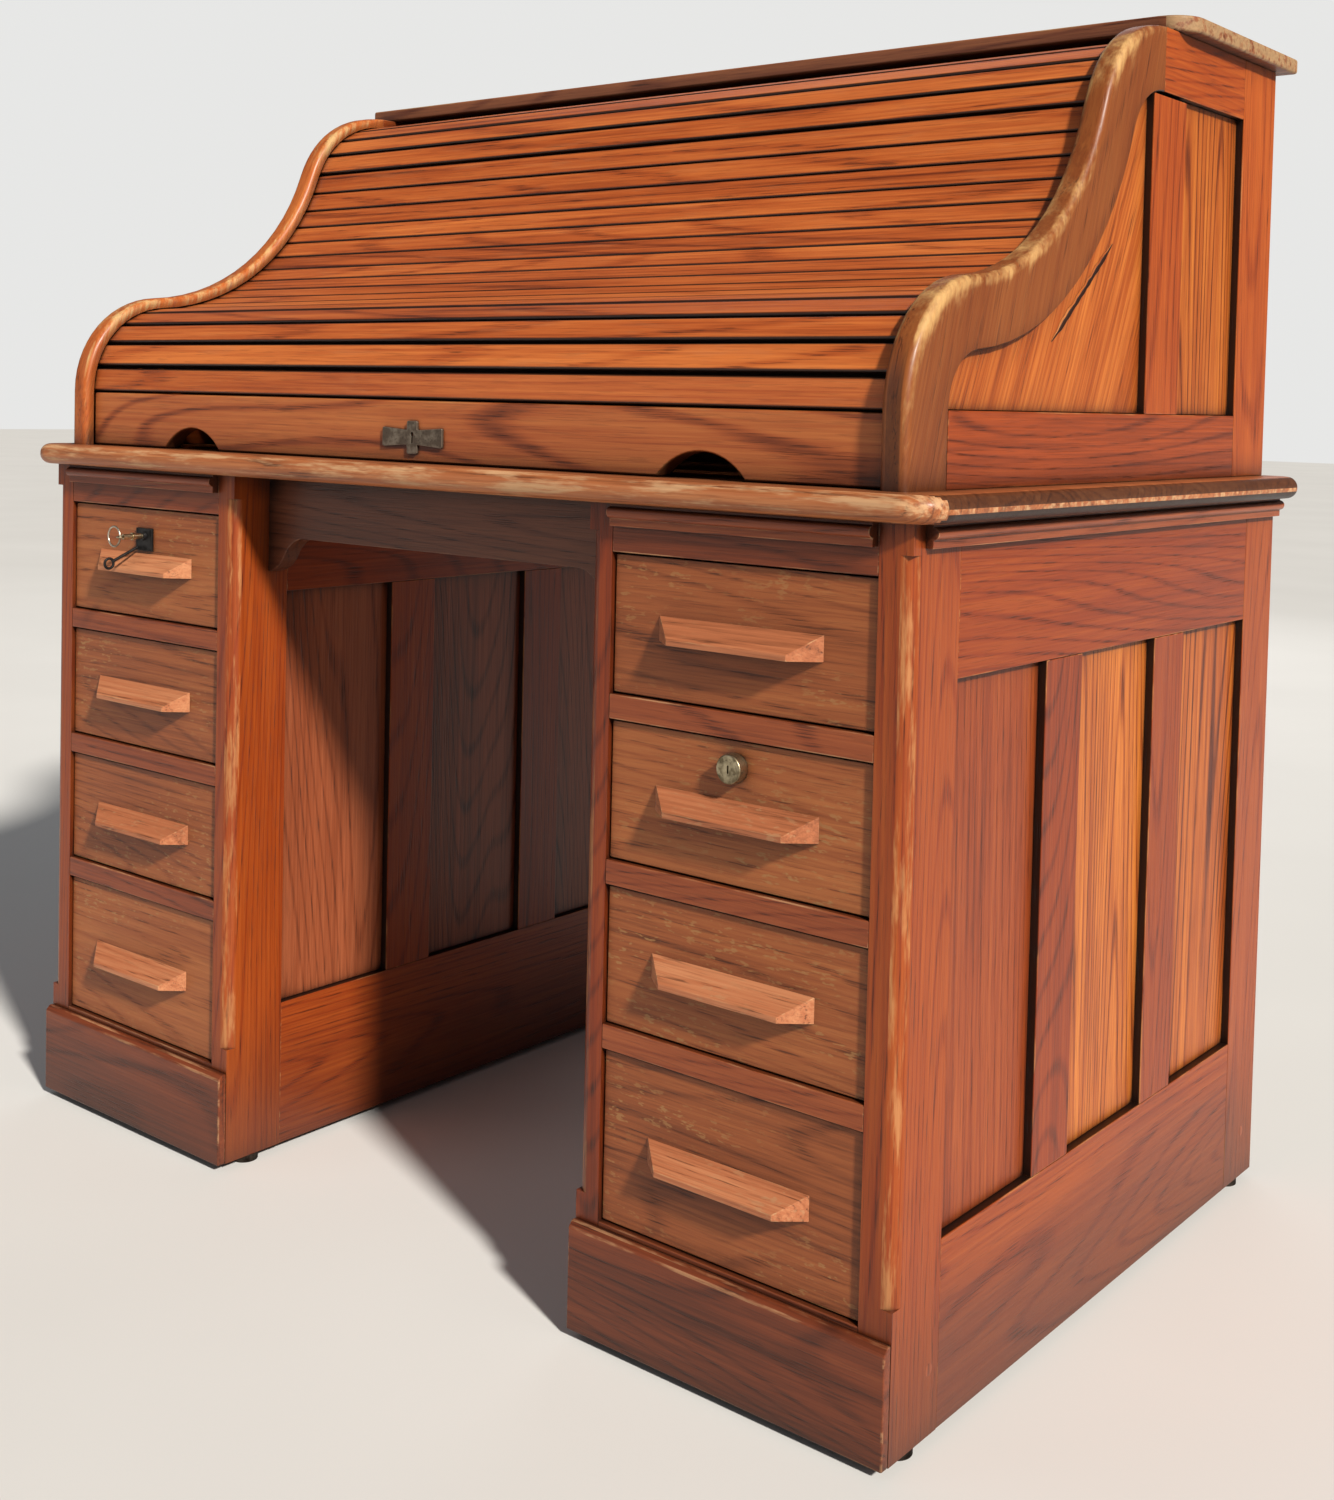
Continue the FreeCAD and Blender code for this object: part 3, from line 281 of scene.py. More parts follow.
MATERIALS = {
    "oak_frame": wood("OakFrame", (70, 29, 14), (130, 60, 30), (160, 84, 45), rings=80,
        figure=0.35, wear=0.9, darken_low=0.45, worn=(206, 150, 106)),
    "oak_side": wood("OakSide", (72, 25, 8), (130, 50, 14), (160, 76, 25), rings=80, figure=0.4,
        fibre=0.5, wear=0.85, darken_low=0.6, blotch=0.34, edge_reach=0.08, worn=(202, 136, 82)),
    "oak_upper": wood("OakUpper", (84, 31, 11), (150, 64, 22), (184, 92, 34), rings=80,
        figure=0.4, fibre=0.55, wear=0.6, blotch=0.4, worn=(202, 136, 82)),
    "oak_panel": wood("OakPanel", (84, 31, 9), (158, 76, 24), (196, 114, 44), rings=100,
        figure=0.85, fibre=0.75, wear=0.4, corner_dirt_and_shade=1.0, darken_low=0.3, stretch=0.36),
    "oak_red": wood("OakRed", (70, 24, 9), (134, 56, 21), (164, 82, 34), rings=80, figure=0.3,
        fibre=0.6, wear=0.4, corner_dirt_and_shade=1.0, darken_low=0.3, stretch=0.4),
    "oak_curved": wood("OakCurved", (92, 36, 12), (160, 76, 25), (194, 110, 46), rings=40,
        figure=0.1, fibre=0.9, wear=0.4, corner_dirt_and_shade=1.0),
    "oak_knee": wood("OakKnee", (62, 28, 16), (132, 66, 38), (164, 92, 58), rings=90, figure=0.4,
        wear=0.5, corner_dirt_and_shade=1.0, worn=(168, 118, 82)),
    # Painted shade: the apron's wood is made darker for the shadow it stands in under the board.
    "oak_apron_shaded": wood("OakApronShaded", (44, 24, 16), (88, 48, 32), (112, 66, 44), rings=90, figure=0.4,
        wear=0.5, corner_dirt_and_shade=1.0, worn=(150, 110, 80)),
    "oak_board": wood("OakBoard", (98, 52, 28), (168, 98, 56), (204, 140, 90), rings=70, wear=0.9,
        rough=0.44, worn=(226, 176, 128), figure=0.35, edge_reach=0.1),
    "oak_top": wood("OakTop", (66, 34, 20), (116, 62, 38), (158, 98, 62), rings=70, wear=0.95,
        rough=0.5, worn=(184, 146, 104), edge_reach=0.12),
    "oak_drawer": wood("OakDrawer", (80, 36, 17), (148, 80, 42), (178, 108, 60), rings=80,
        figure=0.3, fibre=0.5, flecks=0.75, rough=0.46, wear=0.85, corner_dirt_and_shade=1.0, coat=0.08,
        edge_reach=0.04),
    "oak_pull": wood("OakPull", (106, 58, 34), (174, 104, 68), (204, 140, 98), rings=60,
        figure=0.2, flecks=0.5, rough=0.48, wear=0.75, worn=(220, 170, 122), corner_dirt_and_shade=0.35, coat=0.06,
        edge_reach=0.06),
    "oak_slat": wood("OakSlat", (92, 34, 14), (172, 82, 34), (208, 116, 54), rings=60, figure=0.4,
        fibre=0.7, wear=0.35, corner_dirt_and_shade=0.9, blotch=0.4, worn=(206, 132, 84), stretch=0.35),
    "oak_rail": wood("OakRail", (100, 42, 18), (168, 86, 42), (198, 118, 62), rings=44,
        figure=0.75, wear=0.5, corner_dirt_and_shade=0.9, blotch=0.45, stretch=0.9),
    "oak_member": wood("OakMember", (66, 31, 13), (122, 62, 27), (150, 88, 42), rings=40,
        figure=0.1, fibre=0.4, wear=1.0, worn=(222, 172, 108), rough=0.40, edge_reach=0.20,
        rub_scale=(16.0, 42.0, 42.0), rub_full=0.88, blotch=0.35),
    "oak_member_left": wood("OakMemberLeft", (96, 42, 16), (172, 86, 36), (204, 122, 58),
        rings=40, figure=0.2, fibre=0.4, wear=1.0, worn=(228, 184, 122), edge_reach=0.16,
        rub_scale=(9.0, 120.0, 120.0), rub_full=0.86),
    "inner_wood": wood("InnerWood", (126, 88, 52), (170, 128, 82), (196, 158, 110), rings=30,
        rough=0.62, wear=0.3, coat=0.0, corner_dirt_and_shade=0.5),
    "bronze": metal("Bronze", (146, 134, 118), (104, 92, 80), rough=0.42, cover=0.75,
        metallic=0.85),
    "brass": metal("Brass", (186, 172, 142), (120, 106, 82), rough=0.32, cover=0.55),
    "steel_wire": metal("SteelWire", (206, 196, 178), (140, 126, 108), rough=0.34, cover=0.4),
    "black_iron": metal("BlackIron", (44, 42, 42), (18, 17, 17), rough=0.42, cover=0.6,
        metallic=0.6),
    "foot_iron": metal("FootIron", (70, 62, 56), (34, 28, 24), rough=0.55, cover=0.6),
    "canvas": cloth("Canvas", (92, 70, 48)),
}


# ---------------------------------------------------------------- mesh helpers

def weld(mesh):
    """For each vertex, the vertex that stands for it and all others at its place."""
    loose = bmesh.new()
    loose.from_mesh(mesh)
    same = bmesh.ops.find_doubles(loose, verts=loose.verts, dist=SAME_PLACE)["targetmap"]
    loose.verts.index_update()
    stand = list(range(len(loose.verts)))
    for vert, target in same.items():
        stand[vert.index] = target.index
    loose.free()
    return stand


def turn_inside(first, second):
    """The angle through the wood from one face to another that shares its edge."""
    normal, inward = first
    turn = math.atan2(-normal.dot(second[1]), inward.dot(second[1])) % (2 * math.pi)
    return turn if turn > 1e-3 else turn + 2 * math.pi


def solids_of(node):
    """The node's solids, each as its own bmesh with welded corners and whole flat faces.
    Where solids touch, a face belongs with the one that it meets through the wood."""
    mesh = NODES[node].data
    stand = weld(mesh)
    place = [vert.co.copy() for vert in mesh.vertices]
    faces = []
    for polygon in mesh.polygons:
        corners = [stand[index] for index in polygon.vertices]
        if len(set(corners)) == len(corners):
            faces.append((corners, polygon.normal.copy()))
    sides = {}
    for index, (corners, _) in enumerate(faces):
        for one, two in zip(corners, corners[1:] + corners[:1]):
            sides.setdefault((min(one, two), max(one, two)), []).append((index, one < two))
    group = list(range(len(faces)))

    def root(index):
        while group[index] != index:
            group[index] = group[group[index]]
            index = group[index]
        return index

    for (one, two), uses in sides.items():
        if len(uses) == 2:
            pairs = [(uses[0][0], uses[1][0])]
        else:
            line = (place[two] - place[one]).normalized()
            about = {}
            for index, ahead in uses:
                normal = faces[index][1]
                about[index] = (normal, normal.cross(line if ahead else -line))
            pairs = []
            for index, ahead in uses:
                others = [other for other, way in uses if way != ahead]
                if others:
                    near = min(others, key=lambda other: turn_inside(about[index], about[other]))
                    pairs.append((index, near))
        for first, second in pairs:
            first, second = root(first), root(second)
            group[max(first, second)] = min(first, second)
    members = {}
    for index in range(len(faces)):
        members.setdefault(root(index), []).append(index)
    made = []
    for _, indices in sorted(members.items()):
        part = bmesh.new()
        verts = {}
        for index in indices:
            for corner in faces[index][0]:
                if corner not in verts:
                    verts[corner] = part.verts.new(place[corner])
            try:
                part.faces.new([verts[corner] for corner in faces[index][0]])
            except ValueError:
                continue
        part.normal_update()
        bmesh.ops.dissolve_limit(part, angle_limit=math.radians(FLAT_ANGLE), verts=part.verts,
                                 edges=part.edges)
        made.append(part)
    return made


def extents(part):
    corners = np.array([vert.co for vert in part.verts])
    return corners.min(0), corners.max(0)


def wear_layer(part):
    return part.faces.layers.float.get("wear") or part.faces.layers.float.new("wear")


def bevel(part, edges, radius, segments):
    return bmesh.ops.bevel(part, geom=edges, offset=radius, offset_type="OFFSET",
                           segments=segments, profile=0.5, affect="EDGES",
                           clamp_overlap=True, material=-1)["faces"]


def soften(part, radius, segments, angle=28.0):
    """Rounds the sharp edges and marks the new faces as the ones that wear."""
    worn = wear_layer(part)
    low, high = extents(part)
    radius = min(radius, MOST_OF_THICKNESS * float((high - low).min()))
    sharp = [edge for edge in part.edges
             if len(edge.link_faces) == 2 and edge.calc_face_angle(0.0) > math.radians(angle)]
    if radius < LEAST_RADIUS or not sharp:
        return
    for face in bevel(part, sharp, radius, segments):
        face[worn] = 1.0


def assemble(name, parts, materials, body, replaced):
    """Joins solids into one piece that rides on body and stands for the replaced nodes.

    Each part is (bmesh, material index, grain direction or None for its longest side), and may
    end with the board's tone from 0 to 1, which is otherwise left to chance.
    """
    verts, faces, grain, plank, wear, index = [], [], [], [], [], []
    for number, (part, material, direction, *tones) in enumerate(parts):
        chance = random.Random(f"{name} {number}")
        low, high = extents(part)
        if direction is None:
            direction = np.eye(3)[int(np.argmax(high - low))]
        along = np.array(direction, float) / np.linalg.norm(direction)
        across = np.cross(along, [0.0, 0.0, 1.0] if abs(along[2]) < 0.9 else [1.0, 0.0, 0.0])
        across /= np.linalg.norm(across)
        axes = np.array([along, across, np.cross(along, across)])
        offset = np.array([chance.uniform(0, 40) for _ in range(3)])
        value = tones[0] if tones else chance.random()
        start = len(verts)
        part.verts.index_update()
        for vert in part.verts:
            verts.append(tuple(vert.co))
        grain.append(np.array([vert.co for vert in part.verts]) @ axes.T + offset)
        plank += [value] * len(part.verts)
        on_face = part.faces.layers.float.get("wear")
        on_vert = part.verts.layers.float.get("wear")
        for face in part.faces:
            faces.append([vert.index + start for vert in face.verts])
            own = face[on_face] if on_face else 0.0
            wear += [own + (vert[on_vert] if on_vert else 0.0) for vert in face.verts]
            index.append(material)
        part.free()
    mesh = bpy.data.meshes.new(name)
    mesh.from_pydata(verts, [], faces)
    mesh.attributes.new("grain", "FLOAT_VECTOR", "POINT").data.foreach_set(
        "vector", np.concatenate(grain).astype(np.float32).ravel())
    for kind, domain, values in (("plank", "POINT", plank), ("wear", "CORNER", wear)):
        mesh.attributes.new(kind, "FLOAT", domain).data.foreach_set(
            "value", np.array(values, np.float32))
    for material in materials:
        mesh.materials.append(MATERIALS[material])
    mesh.polygons.foreach_set("material_index", np.array(index, np.int32))
    mesh.polygons.foreach_set("use_smooth", np.ones(len(faces), bool))
    mesh.update()
    mesh.set_sharp_from_angle(angle=math.radians(SHARP_ANGLE))
    piece = bpy.data.objects.new(name, mesh)
    bpy.context.scene.collection.objects.link(piece)
    weighted = piece.modifiers.new("WeightedNormal", "WEIGHTED_NORMAL")
    weighted.keep_sharp = True
    weighted.weight = 90
    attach(piece, body)
    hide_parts(*replaced)


def refine(node, radius, segments, material=None, direction=None, change=None, mark=None,
           extra=()):
    """The CAD node again with softened, worn edges and its grain along each board.

    change gives another finish for some of its solids, and extra adds small solids of its own.
    """
    parts = []
    materials = [material or SLOTS[node]]
    for part in solids_of(node):
        found = change(part) if change else None
        if found and found not in materials:
            materials.append(found)
        soften(part, radius, segments)
        if mark:
            mark(part)
        parts.append((part, materials.index(found) if found else 0, direction))
    for part, finish, way in extra:
        if finish not in materials:
            materials.append(finish)
        parts.append((part, materials.index(finish), way))
    assemble("visual_" + node, parts, materials, NODES[node]["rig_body"], [node])


def mark_round_corners(part):
    """The stiles' rounded front corners take the most knocks."""
    layer = wear_layer(part)
    part.normal_update()
    for face in part.faces:
        if abs(face.normal.x) > 0.15 and face.normal.y < -0.15 and abs(face.normal.z) < 0.5:
            face[layer] = 1.0


def mark_openings(part, low, high):
    """The frame's edges around its panels are black with old dirt and varnish."""
    layer = wear_layer(part)
    part.normal_update()
    for face in part.faces:
        middle = face.calc_center_median()
        inside = all(low[axis] + FRAME_RIM < middle[axis] < high[axis] - FRAME_RIM
                     for axis in (1, 2))
        if inside and max(abs(face.normal.y), abs(face.normal.z)) > 0.97:
            face[layer] = -1.0


def mark_board(part):
    """The writing board's nose is rubbed pale; its ends are dark, with one pale line."""
    layer = wear_layer(part)
    part.normal_update()
    for face in part.faces:
        normal = face.normal
        if normal.y < -0.25:
            face[layer] = 1.0 if normal.z > -0.5 else 0.3
        elif abs(normal.x) > 0.25:
            face[layer] = -0.7 if normal.z > 0.05 else 0.9 if normal.z > -0.3 else -0.9
        elif 0.15 < normal.z < 0.97:
            face[layer] = 0.6


def mark_top(part):
    """The top board's end at the right is raw, and its front is dark."""
    layer = wear_layer(part)
    part.normal_update()
    for face in part.faces:
        if face.normal.x > 0.3:
            face[layer] = 1.7
        elif face.normal.y < -0.3:
            face[layer] = -0.3 if face.normal.y < -0.9 else 0.6


def round_slat(part, outward):
    """Rounds a slat's two long outer edges well and the rest a little."""
    face = max(part.faces, key=lambda each: each.calc_area() * (each.normal.dot(outward) > 0.99))
    long = [edge for edge in face.edges
            if abs((edge.verts[0].co - edge.verts[1].co).normalized().x) > 0.99]
    bevel(part, long, SLAT_ROUND, 4)
    soften(part, 0.6 * MM, 1, angle=50.0)


def paint_groove_shade(part, outward):
    """A slat's sides and bevels are painted dark as the shade in the grooves between slats; its
    front face is a little worn.
    """
    layer = wear_layer(part)
    part.normal_update()
    for face in part.faces:
        # Painted shade on the sides and bevels; the front face gets light wear.
        facing = face.normal.dot(outward)
        if facing > 0.99:
            face[layer] = 0.3
        elif facing < 0.6:
            face[layer] = -1.0
        else:
            face[layer] = -0.8 if facing < 0.9 else -0.35


def top_board():
    """The top board, its front corner at the right rounded off by knocks."""
    node = "top_board"
    parts = []
    for part in solids_of(node):
        low, high = extents(part)
        corner = [edge for edge in part.edges
                  if all(vert.co.x > high[0] - MM and vert.co.y < low[1] + MM
                         for vert in edge.verts)]
        bevel(part, corner, BROKEN_CORNER, 6)
        soften(part, 3.0 * MM, 3, angle=32.0)
        mark_top(part)
        parts.append((part, 0, ALONG_X))
    assemble("visual_" + node, parts, ["oak_top"], NODES[node]["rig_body"], [node])


# The S member, in millimetres. Its outer edge rises straight, bends back, bends up again and ends
# in the crest: three bends with their radii, and the slopes in degrees that each starts from.
S_STEPS = 14
S_FRONT, S_FOOT, S_RISE, S_TOP = -352.0, 769.0, 63.0, 1204.0
S_RADII = (113.0, 259.0, 129.0)
S_SLOPES = (90.0, 4.4, 70.6)
S_CREST_Y = 98.8
S_INNER_FACE, S_WIDTH, S_THICK, S_ROUND = 541.0, 62.0, 26.0, 7.0
S_END_TAPER = 30.0
S_BACK_CHAMFER = 1.2
GROOVE_NEAR, GROOVE_FAR, GROOVE_DEEP = 12.0, 26.0, 8.0
CORNER_ANGLES = (22.5, 45, 67.5, 90)
# Where hands rub the member: each stretch's middle along the edge, half its length, how much.
RUBBED = ((175.0, 90.0, 1.35), (330.0, 170.0, 0.85), (600.0, 70.0, 1.2))
# The right member's front is darker up to this run from its foot, fading over the next: dirt and
# painted shade, in millimetres.
DIRTY_SHADED_FOOT, DIRTY_SHADED_FOOT_FADE = 150.0, 60.0


def on_arc(centre, radius, angle, way):
    """The point of an arc where it has this slope; way is 1 for a crown, -1 for a hollow."""
    turn = math.radians(angle)
    return (centre[0] - way * radius * math.sin(turn), centre[1] + way * radius * math.cos(turn),
            angle)


def s_path():
    """The outer edge of the S member in millimetres: y, z, slope and the length run so far."""
    near, hollow, crest = S_RADII
    upright, shelf, steep = S_SLOPES
    rows = [(S_FRONT, S_FOOT + S_RISE * k / 4, upright) for k in range(4)]
    first = (S_FRONT + near, S_FOOT + S_RISE)
    for k in range(S_STEPS + 1):
        rows.append(on_arc(first, near, upright + (shelf - upright) * k / S_STEPS, 1))
    second = on_arc(rows[-1][:2], hollow, shelf, 1)[:2]
    for k in range(1, S_STEPS + 1):
        rows.append(on_arc(second, hollow, shelf + (steep - shelf) * k / S_STEPS, -1))
    third = (S_CREST_Y, S_TOP - crest)
    for k in range(S_STEPS + 1):
        rows.append(on_arc(third, crest, steep * (1 - k / S_STEPS), 1))
    run, path = 0.0, []
    for number, (y, z, slope) in enumerate(rows):
        if number:
            run += math.dist((y, z), rows[number - 1][:2])
        path.append((y, z, slope, run))
    return path


def s_section(r):
    """Around the member from the middle of its outer edge, with its front corners rounded to r:
    depth, distance from the inner face, and region."""
    corners = [(r - r * math.cos(turn), r - r * math.sin(turn))
               for turn in map(math.radians, CORNER_ANGLES)]
    edge = S_WIDTH - S_BACK_CHAMFER
    ring = [(0.0, S_THICK / 2, "front"), (0.0, S_THICK - r, "front")]
    ring += [(deep, S_THICK - over, "corner") for deep, over in corners]
    ring += [(deep, S_THICK, "outer") for deep in (12.0, 19.0, 28.0, 44.0, edge)]
    ring += [(S_WIDTH, S_THICK - S_BACK_CHAMFER, "back"), (S_WIDTH, S_BACK_CHAMFER, "back")]
    ring += [(edge, 0.0, "inner"), (44.0, 0.0, "inner")]
    ring += [(GROOVE_FAR, 0.0, "inner"), (GROOVE_FAR, GROOVE_DEEP, "groove")]
    ring += [(GROOVE_NEAR, GROOVE_DEEP, "groove"), (GROOVE_NEAR, 0.0, "inner")]
    ring += [(deep, over, "corner") for deep, over in corners[::-1]]
    ring += [(0.0, r, "front")]
    return ring


def s_wear(side, region, deep, run):
    """How rubbed the member is, and where it is painted dark with dirt and shade, by region, depth
    and the length run from its foot.
    """
    rub = max(most * max(0.0, 1.0 - abs(run - middle) / reach) for middle, reach, most in RUBBED)
    if region == "front":
        if side == "left":
            return 0.5 * rub
        # Darker low on the right member's front: dirt and painted shade.
        if run < DIRTY_SHADED_FOOT:
            return -0.55 * min(1.0, (DIRTY_SHADED_FOOT - run) / DIRTY_SHADED_FOOT_FADE) + 0.3 * rub
        return 0.8 * rub
    if region == "corner":
        return 0.35 + 0.9 * rub
    if region == "outer":
        return max(0.0, 1.1 * rub * (1.0 - deep / 24.0)) if deep < 60.0 else -0.3
    # The groove and the back face are painted near-black: painted shade.
    return 0.3 * rub if region == "inner" else -1.0


def s_member(side):
    """The curved end member as one swept, rounded timber, with its wear by place."""
    sign = SIDES[side]
    part = bmesh.new()
    worn = part.verts.layers.float.new("wear")
    path = s_path()
    total = path[-1][3]
    rings = []
    for y, z, slope, run in path:
        radius = S_ROUND * min(1.0, 0.25 + (total - run) / S_END_TAPER)
        sin, cos = math.sin(math.radians(slope)), math.cos(math.radians(slope))
        ring = []
        for deep, over, region in s_section(radius):
            x = sign * (S_INNER_FACE + over)
            vert = part.verts.new((x * MM, (y + sin * deep) * MM, (z - cos * deep) * MM))
            vert[worn] = s_wear(side, region, deep, run)
            ring.append(vert)
        rings.append(ring)
    count = len(rings[0])
    for one, two in zip(rings, rings[1:]):
        for k in range(count):
            loop = (one[k], one[(k + 1) % count], two[(k + 1) % count], two[k])
            part.faces.new(loop if sign < 0 else loop[::-1])
    part.faces.new(rings[0][::-1] if sign < 0 else rings[0])
    part.faces.new(rings[-1] if sign < 0 else rings[-1][::-1])
    bmesh.ops.recalc_face_normals(part, faces=part.faces)
    return part


def box_part(low, high):
    part = bmesh.new()
    made = bmesh.ops.create_cube(part, size=1.0)
    for vert in made["verts"]:
        vert.co = Vector([low[i] if vert.co[i] < 0 else high[i] for i in range(3)])
    return part


def dome(centre, normal, radius, rise):
    """A nail head or plug: a low round cap that faces along normal."""
    part = bmesh.new()
    turn = Vector((0, 0, 1)).rotation_difference(Vector(normal)).to_matrix().to_4x4()
    bmesh.ops.create_uvsphere(part, u_segments=16, v_segments=8, radius=radius)
    for vert in part.verts:
        vert.co.z = vert.co.z / radius * (rise if vert.co.z > 0 else 0.2 * rise)
    part.transform(Matrix.Translation(Vector(centre)) @ turn)
    return part


SCAR_STEPS = 22
# Across the gouge, from one edge at -1 to the other at 1: the place and the wood's height there.
SCAR_SECTION = ((-1.0, 0.0), (-0.62, 1.0), (-0.25, 0.35), (0.25, 0.30), (0.6, 0.8), (1.0, 0.0))


def scar(side_x, start, end, width, depth):
    """A long gouge on a side: a thin torn ridge on either side of a line painted dark as the shade
    inside the gouge.
    """
    chance = random.Random("scar")
    part = bmesh.new()
    layer = wear_layer(part)
    along = (Vector(end) - Vector(start)).normalized()
    across = Vector((along.y, -along.x))
    rows = []
    for k in range(SCAR_STEPS + 1):
        t = k / SCAR_STEPS
        taper = min(1.0, 0.15 + 5.0 * t, 0.15 + 5.0 * (1 - t))
        middle = Vector(start).lerp(Vector(end), t) + across * chance.uniform(-0.3, 0.3) * MM
        half = width * taper * chance.uniform(0.75, 1.25) / 2 + 0.1 * MM
        row = []
        for place, rise in SCAR_SECTION:
            at = middle + across * place * half
            row.append(part.verts.new((side_x + depth * rise * taper, at.x, at.y)))
        rows.append(row)
    for one, two in zip(rows, rows[1:]):
        for k in range(len(SCAR_SECTION) - 1):
            face = part.faces.new((one[k], two[k], two[k + 1], one[k + 1]))
            # Painted shade in the gouge's middle; the ridges' pale is partly torn wood, partly
            # painted highlight.
            face[layer] = -1.0 if k in (1, 2, 3) else 1.2
    part.normal_update()
    if sum(face.normal.x for face in part.faces) < 0:
        bmesh.ops.reverse_faces(part, faces=part.faces)
    return part


# ---------------------------------------------------------------- pieces

# In metres: two plugs low on the right side (y, z), the gouge on the right upper panel (its face's
# x, then start and end as y, z), the lowest and highest corners of each upper side's muntin, how
# near the rails' front a drawer's front starts and the most it is thick, and the canvas and nails.
PLUGS = ((-0.302, 0.063), (0.352, 0.058))
PLUG_RADIUS, PLUG_RISE = 5.2 * MM, 0.25 * MM
GOUGE_X, GOUGE_START, GOUGE_END = 0.5592, (0.012, 0.990), (-0.103, 0.895)
GOUGE_WIDTH, GOUGE_DEPTH = 7.0 * MM, 1.1 * MM
MUNTIN_X, MUNTIN_Y, MUNTIN_Z = (0.5413, 0.5667), (0.078, 0.153), (0.833, 1.1385)
FRONT_REACH, FRONT_MOST = 8 * MM, 30 * MM
CANVAS_MOST = 3 * MM
NAIL_RADIUS, NAIL_RISE = 1.9 * MM, 0.9 * MM


def side_frame(node):
    """A pedestal's side frame; the outer one at the right has two plugs."""
    low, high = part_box(node)
    parts = []
    for part in solids_of(node):
        soften(part, 1.0 * MM, 2)
        mark_openings(part, low, high)
        mark_round_corners(part)
        parts.append((part, 0, None))
    if node == "outer_frame_right":
        for y, z in PLUGS:
            plug = dome((high[0], y, z), ALONG_X, PLUG_RADIUS, PLUG_RISE)
            parts.append((plug, 1, ALONG_Z))
    assemble("visual_" + node, parts, ["oak_side", "oak_knee"], "desk", [node])


def upper_side(side):
    """The upper side: the swept S member and its muntin, with the frame's other boards as they
    are in the CAD."""
    node = "upper_side_" + side
    low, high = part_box(node)
    parts = [(s_member(side), 1, (0, 0.3, 1), 0.5)]
    inner, outer = sorted(SIDES[side] * x for x in MUNTIN_X)
    boards = [box_part((inner, MUNTIN_Y[0], MUNTIN_Z[0]), (outer, MUNTIN_Y[1], MUNTIN_Z[1]))]
    for part in solids_of(node):
        least, most = extents(part)
        if least[1] > low[1] + 20 * MM or most[2] < high[2] - 200 * MM:
            boards.append(part)
    for part in boards:
        soften(part, 1.2 * MM, 2)
        mark_openings(part, low, high)
        parts.append((part, 0, None))
    member = "oak_member" if side == "right" else "oak_member_left"
    assemble("visual_" + node, parts, ["oak_upper", member], "desk", [node])


def drawer_finish(part):
    """A drawer's front has the outside's finish, and its box is plain wood."""
    low, high = extents(part)
    at_front = low[1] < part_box("front_rails_left")[0][1] + FRONT_REACH
    return None if at_front and high[1] - low[1] < FRONT_MOST else "inner_wood"


def outer_panels():
    """The pedestals' outer panels: the first at the front is redder and the middle one paler."""
    panels = []
    for part in solids_of("outer_panels"):
        low, high = extents(part)
        place = (low[1] + high[1]) / 2
        first = place < -0.1
        soften(part, 0.8 * MM, 1)
        panels.append((part, int(first), ALONG_Z, 0.5 if first else 0.85 if place < 0.12 else 0.42))
    assemble("visual_outer_panels", panels, ["oak_panel", "oak_red"], "desk", ["outer_panels"])


def upper_panels():
    """The upper sides' panels: the curved one in front has slanting grain and a long gouge."""
    panels = []
    for part in solids_of("upper_panels"):
        curved = extents(part)[0][1] < 0.0
        soften(part, 0.8 * MM, 1)
        panels.append((part, int(curved), (0, 0.45, 1) if curved else ALONG_Z, 0.6))
    gouge = scar(GOUGE_X, GOUGE_START, GOUGE_END, GOUGE_WIDTH, GOUGE_DEPTH)
    panels.append((gouge, 1, (0, 1, 1), 0.5))
    assemble("visual_upper_panels", panels, ["oak_panel", "oak_curved"], "desk", ["upper_panels"])


def slats(node):
    """A pair of the curtain's slats and the canvas behind them."""
    parts = []
    for part in solids_of(node):
        part.normal_update()
        outward = max(part.faces, key=lambda face:
                      face.calc_area() * (face.normal.z > face.normal.y)).normal.copy()
        depths = [outward.dot(vert.co) for vert in part.verts]
        if max(depths) - min(depths) < CANVAS_MOST:
            parts.append((part, 1, ALONG_X))
            continue
        round_slat(part, outward)
        paint_groove_shade(part, outward)
        parts.append((part, 0, ALONG_X))
    assemble("visual_" + node, parts, ["oak_slat", "canvas"], NODES[node]["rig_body"], [node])


def escutcheon():
    """The cross shaped escutcheon with its four nails."""
    low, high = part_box("escutcheon")
    middle = (low[2] + high[2]) / 2
    places = ((high[0] - 3.2 * MM, 5.5 * MM), (high[0] - 3.2 * MM, -5.5 * MM),
              (high[0] - 2.6 * MM, 0.0), (low[0] + 3.2 * MM, 4.5 * MM))
    nails = [dome((x, low[1] + NAIL_RISE, middle + rise), (0, -1, 0), NAIL_RADIUS, NAIL_RISE)
             for x, rise in places]
    refine("escutcheon", 0.4 * MM, 2, extra=[(nail, "steel_wire", ALONG_X) for nail in nails])


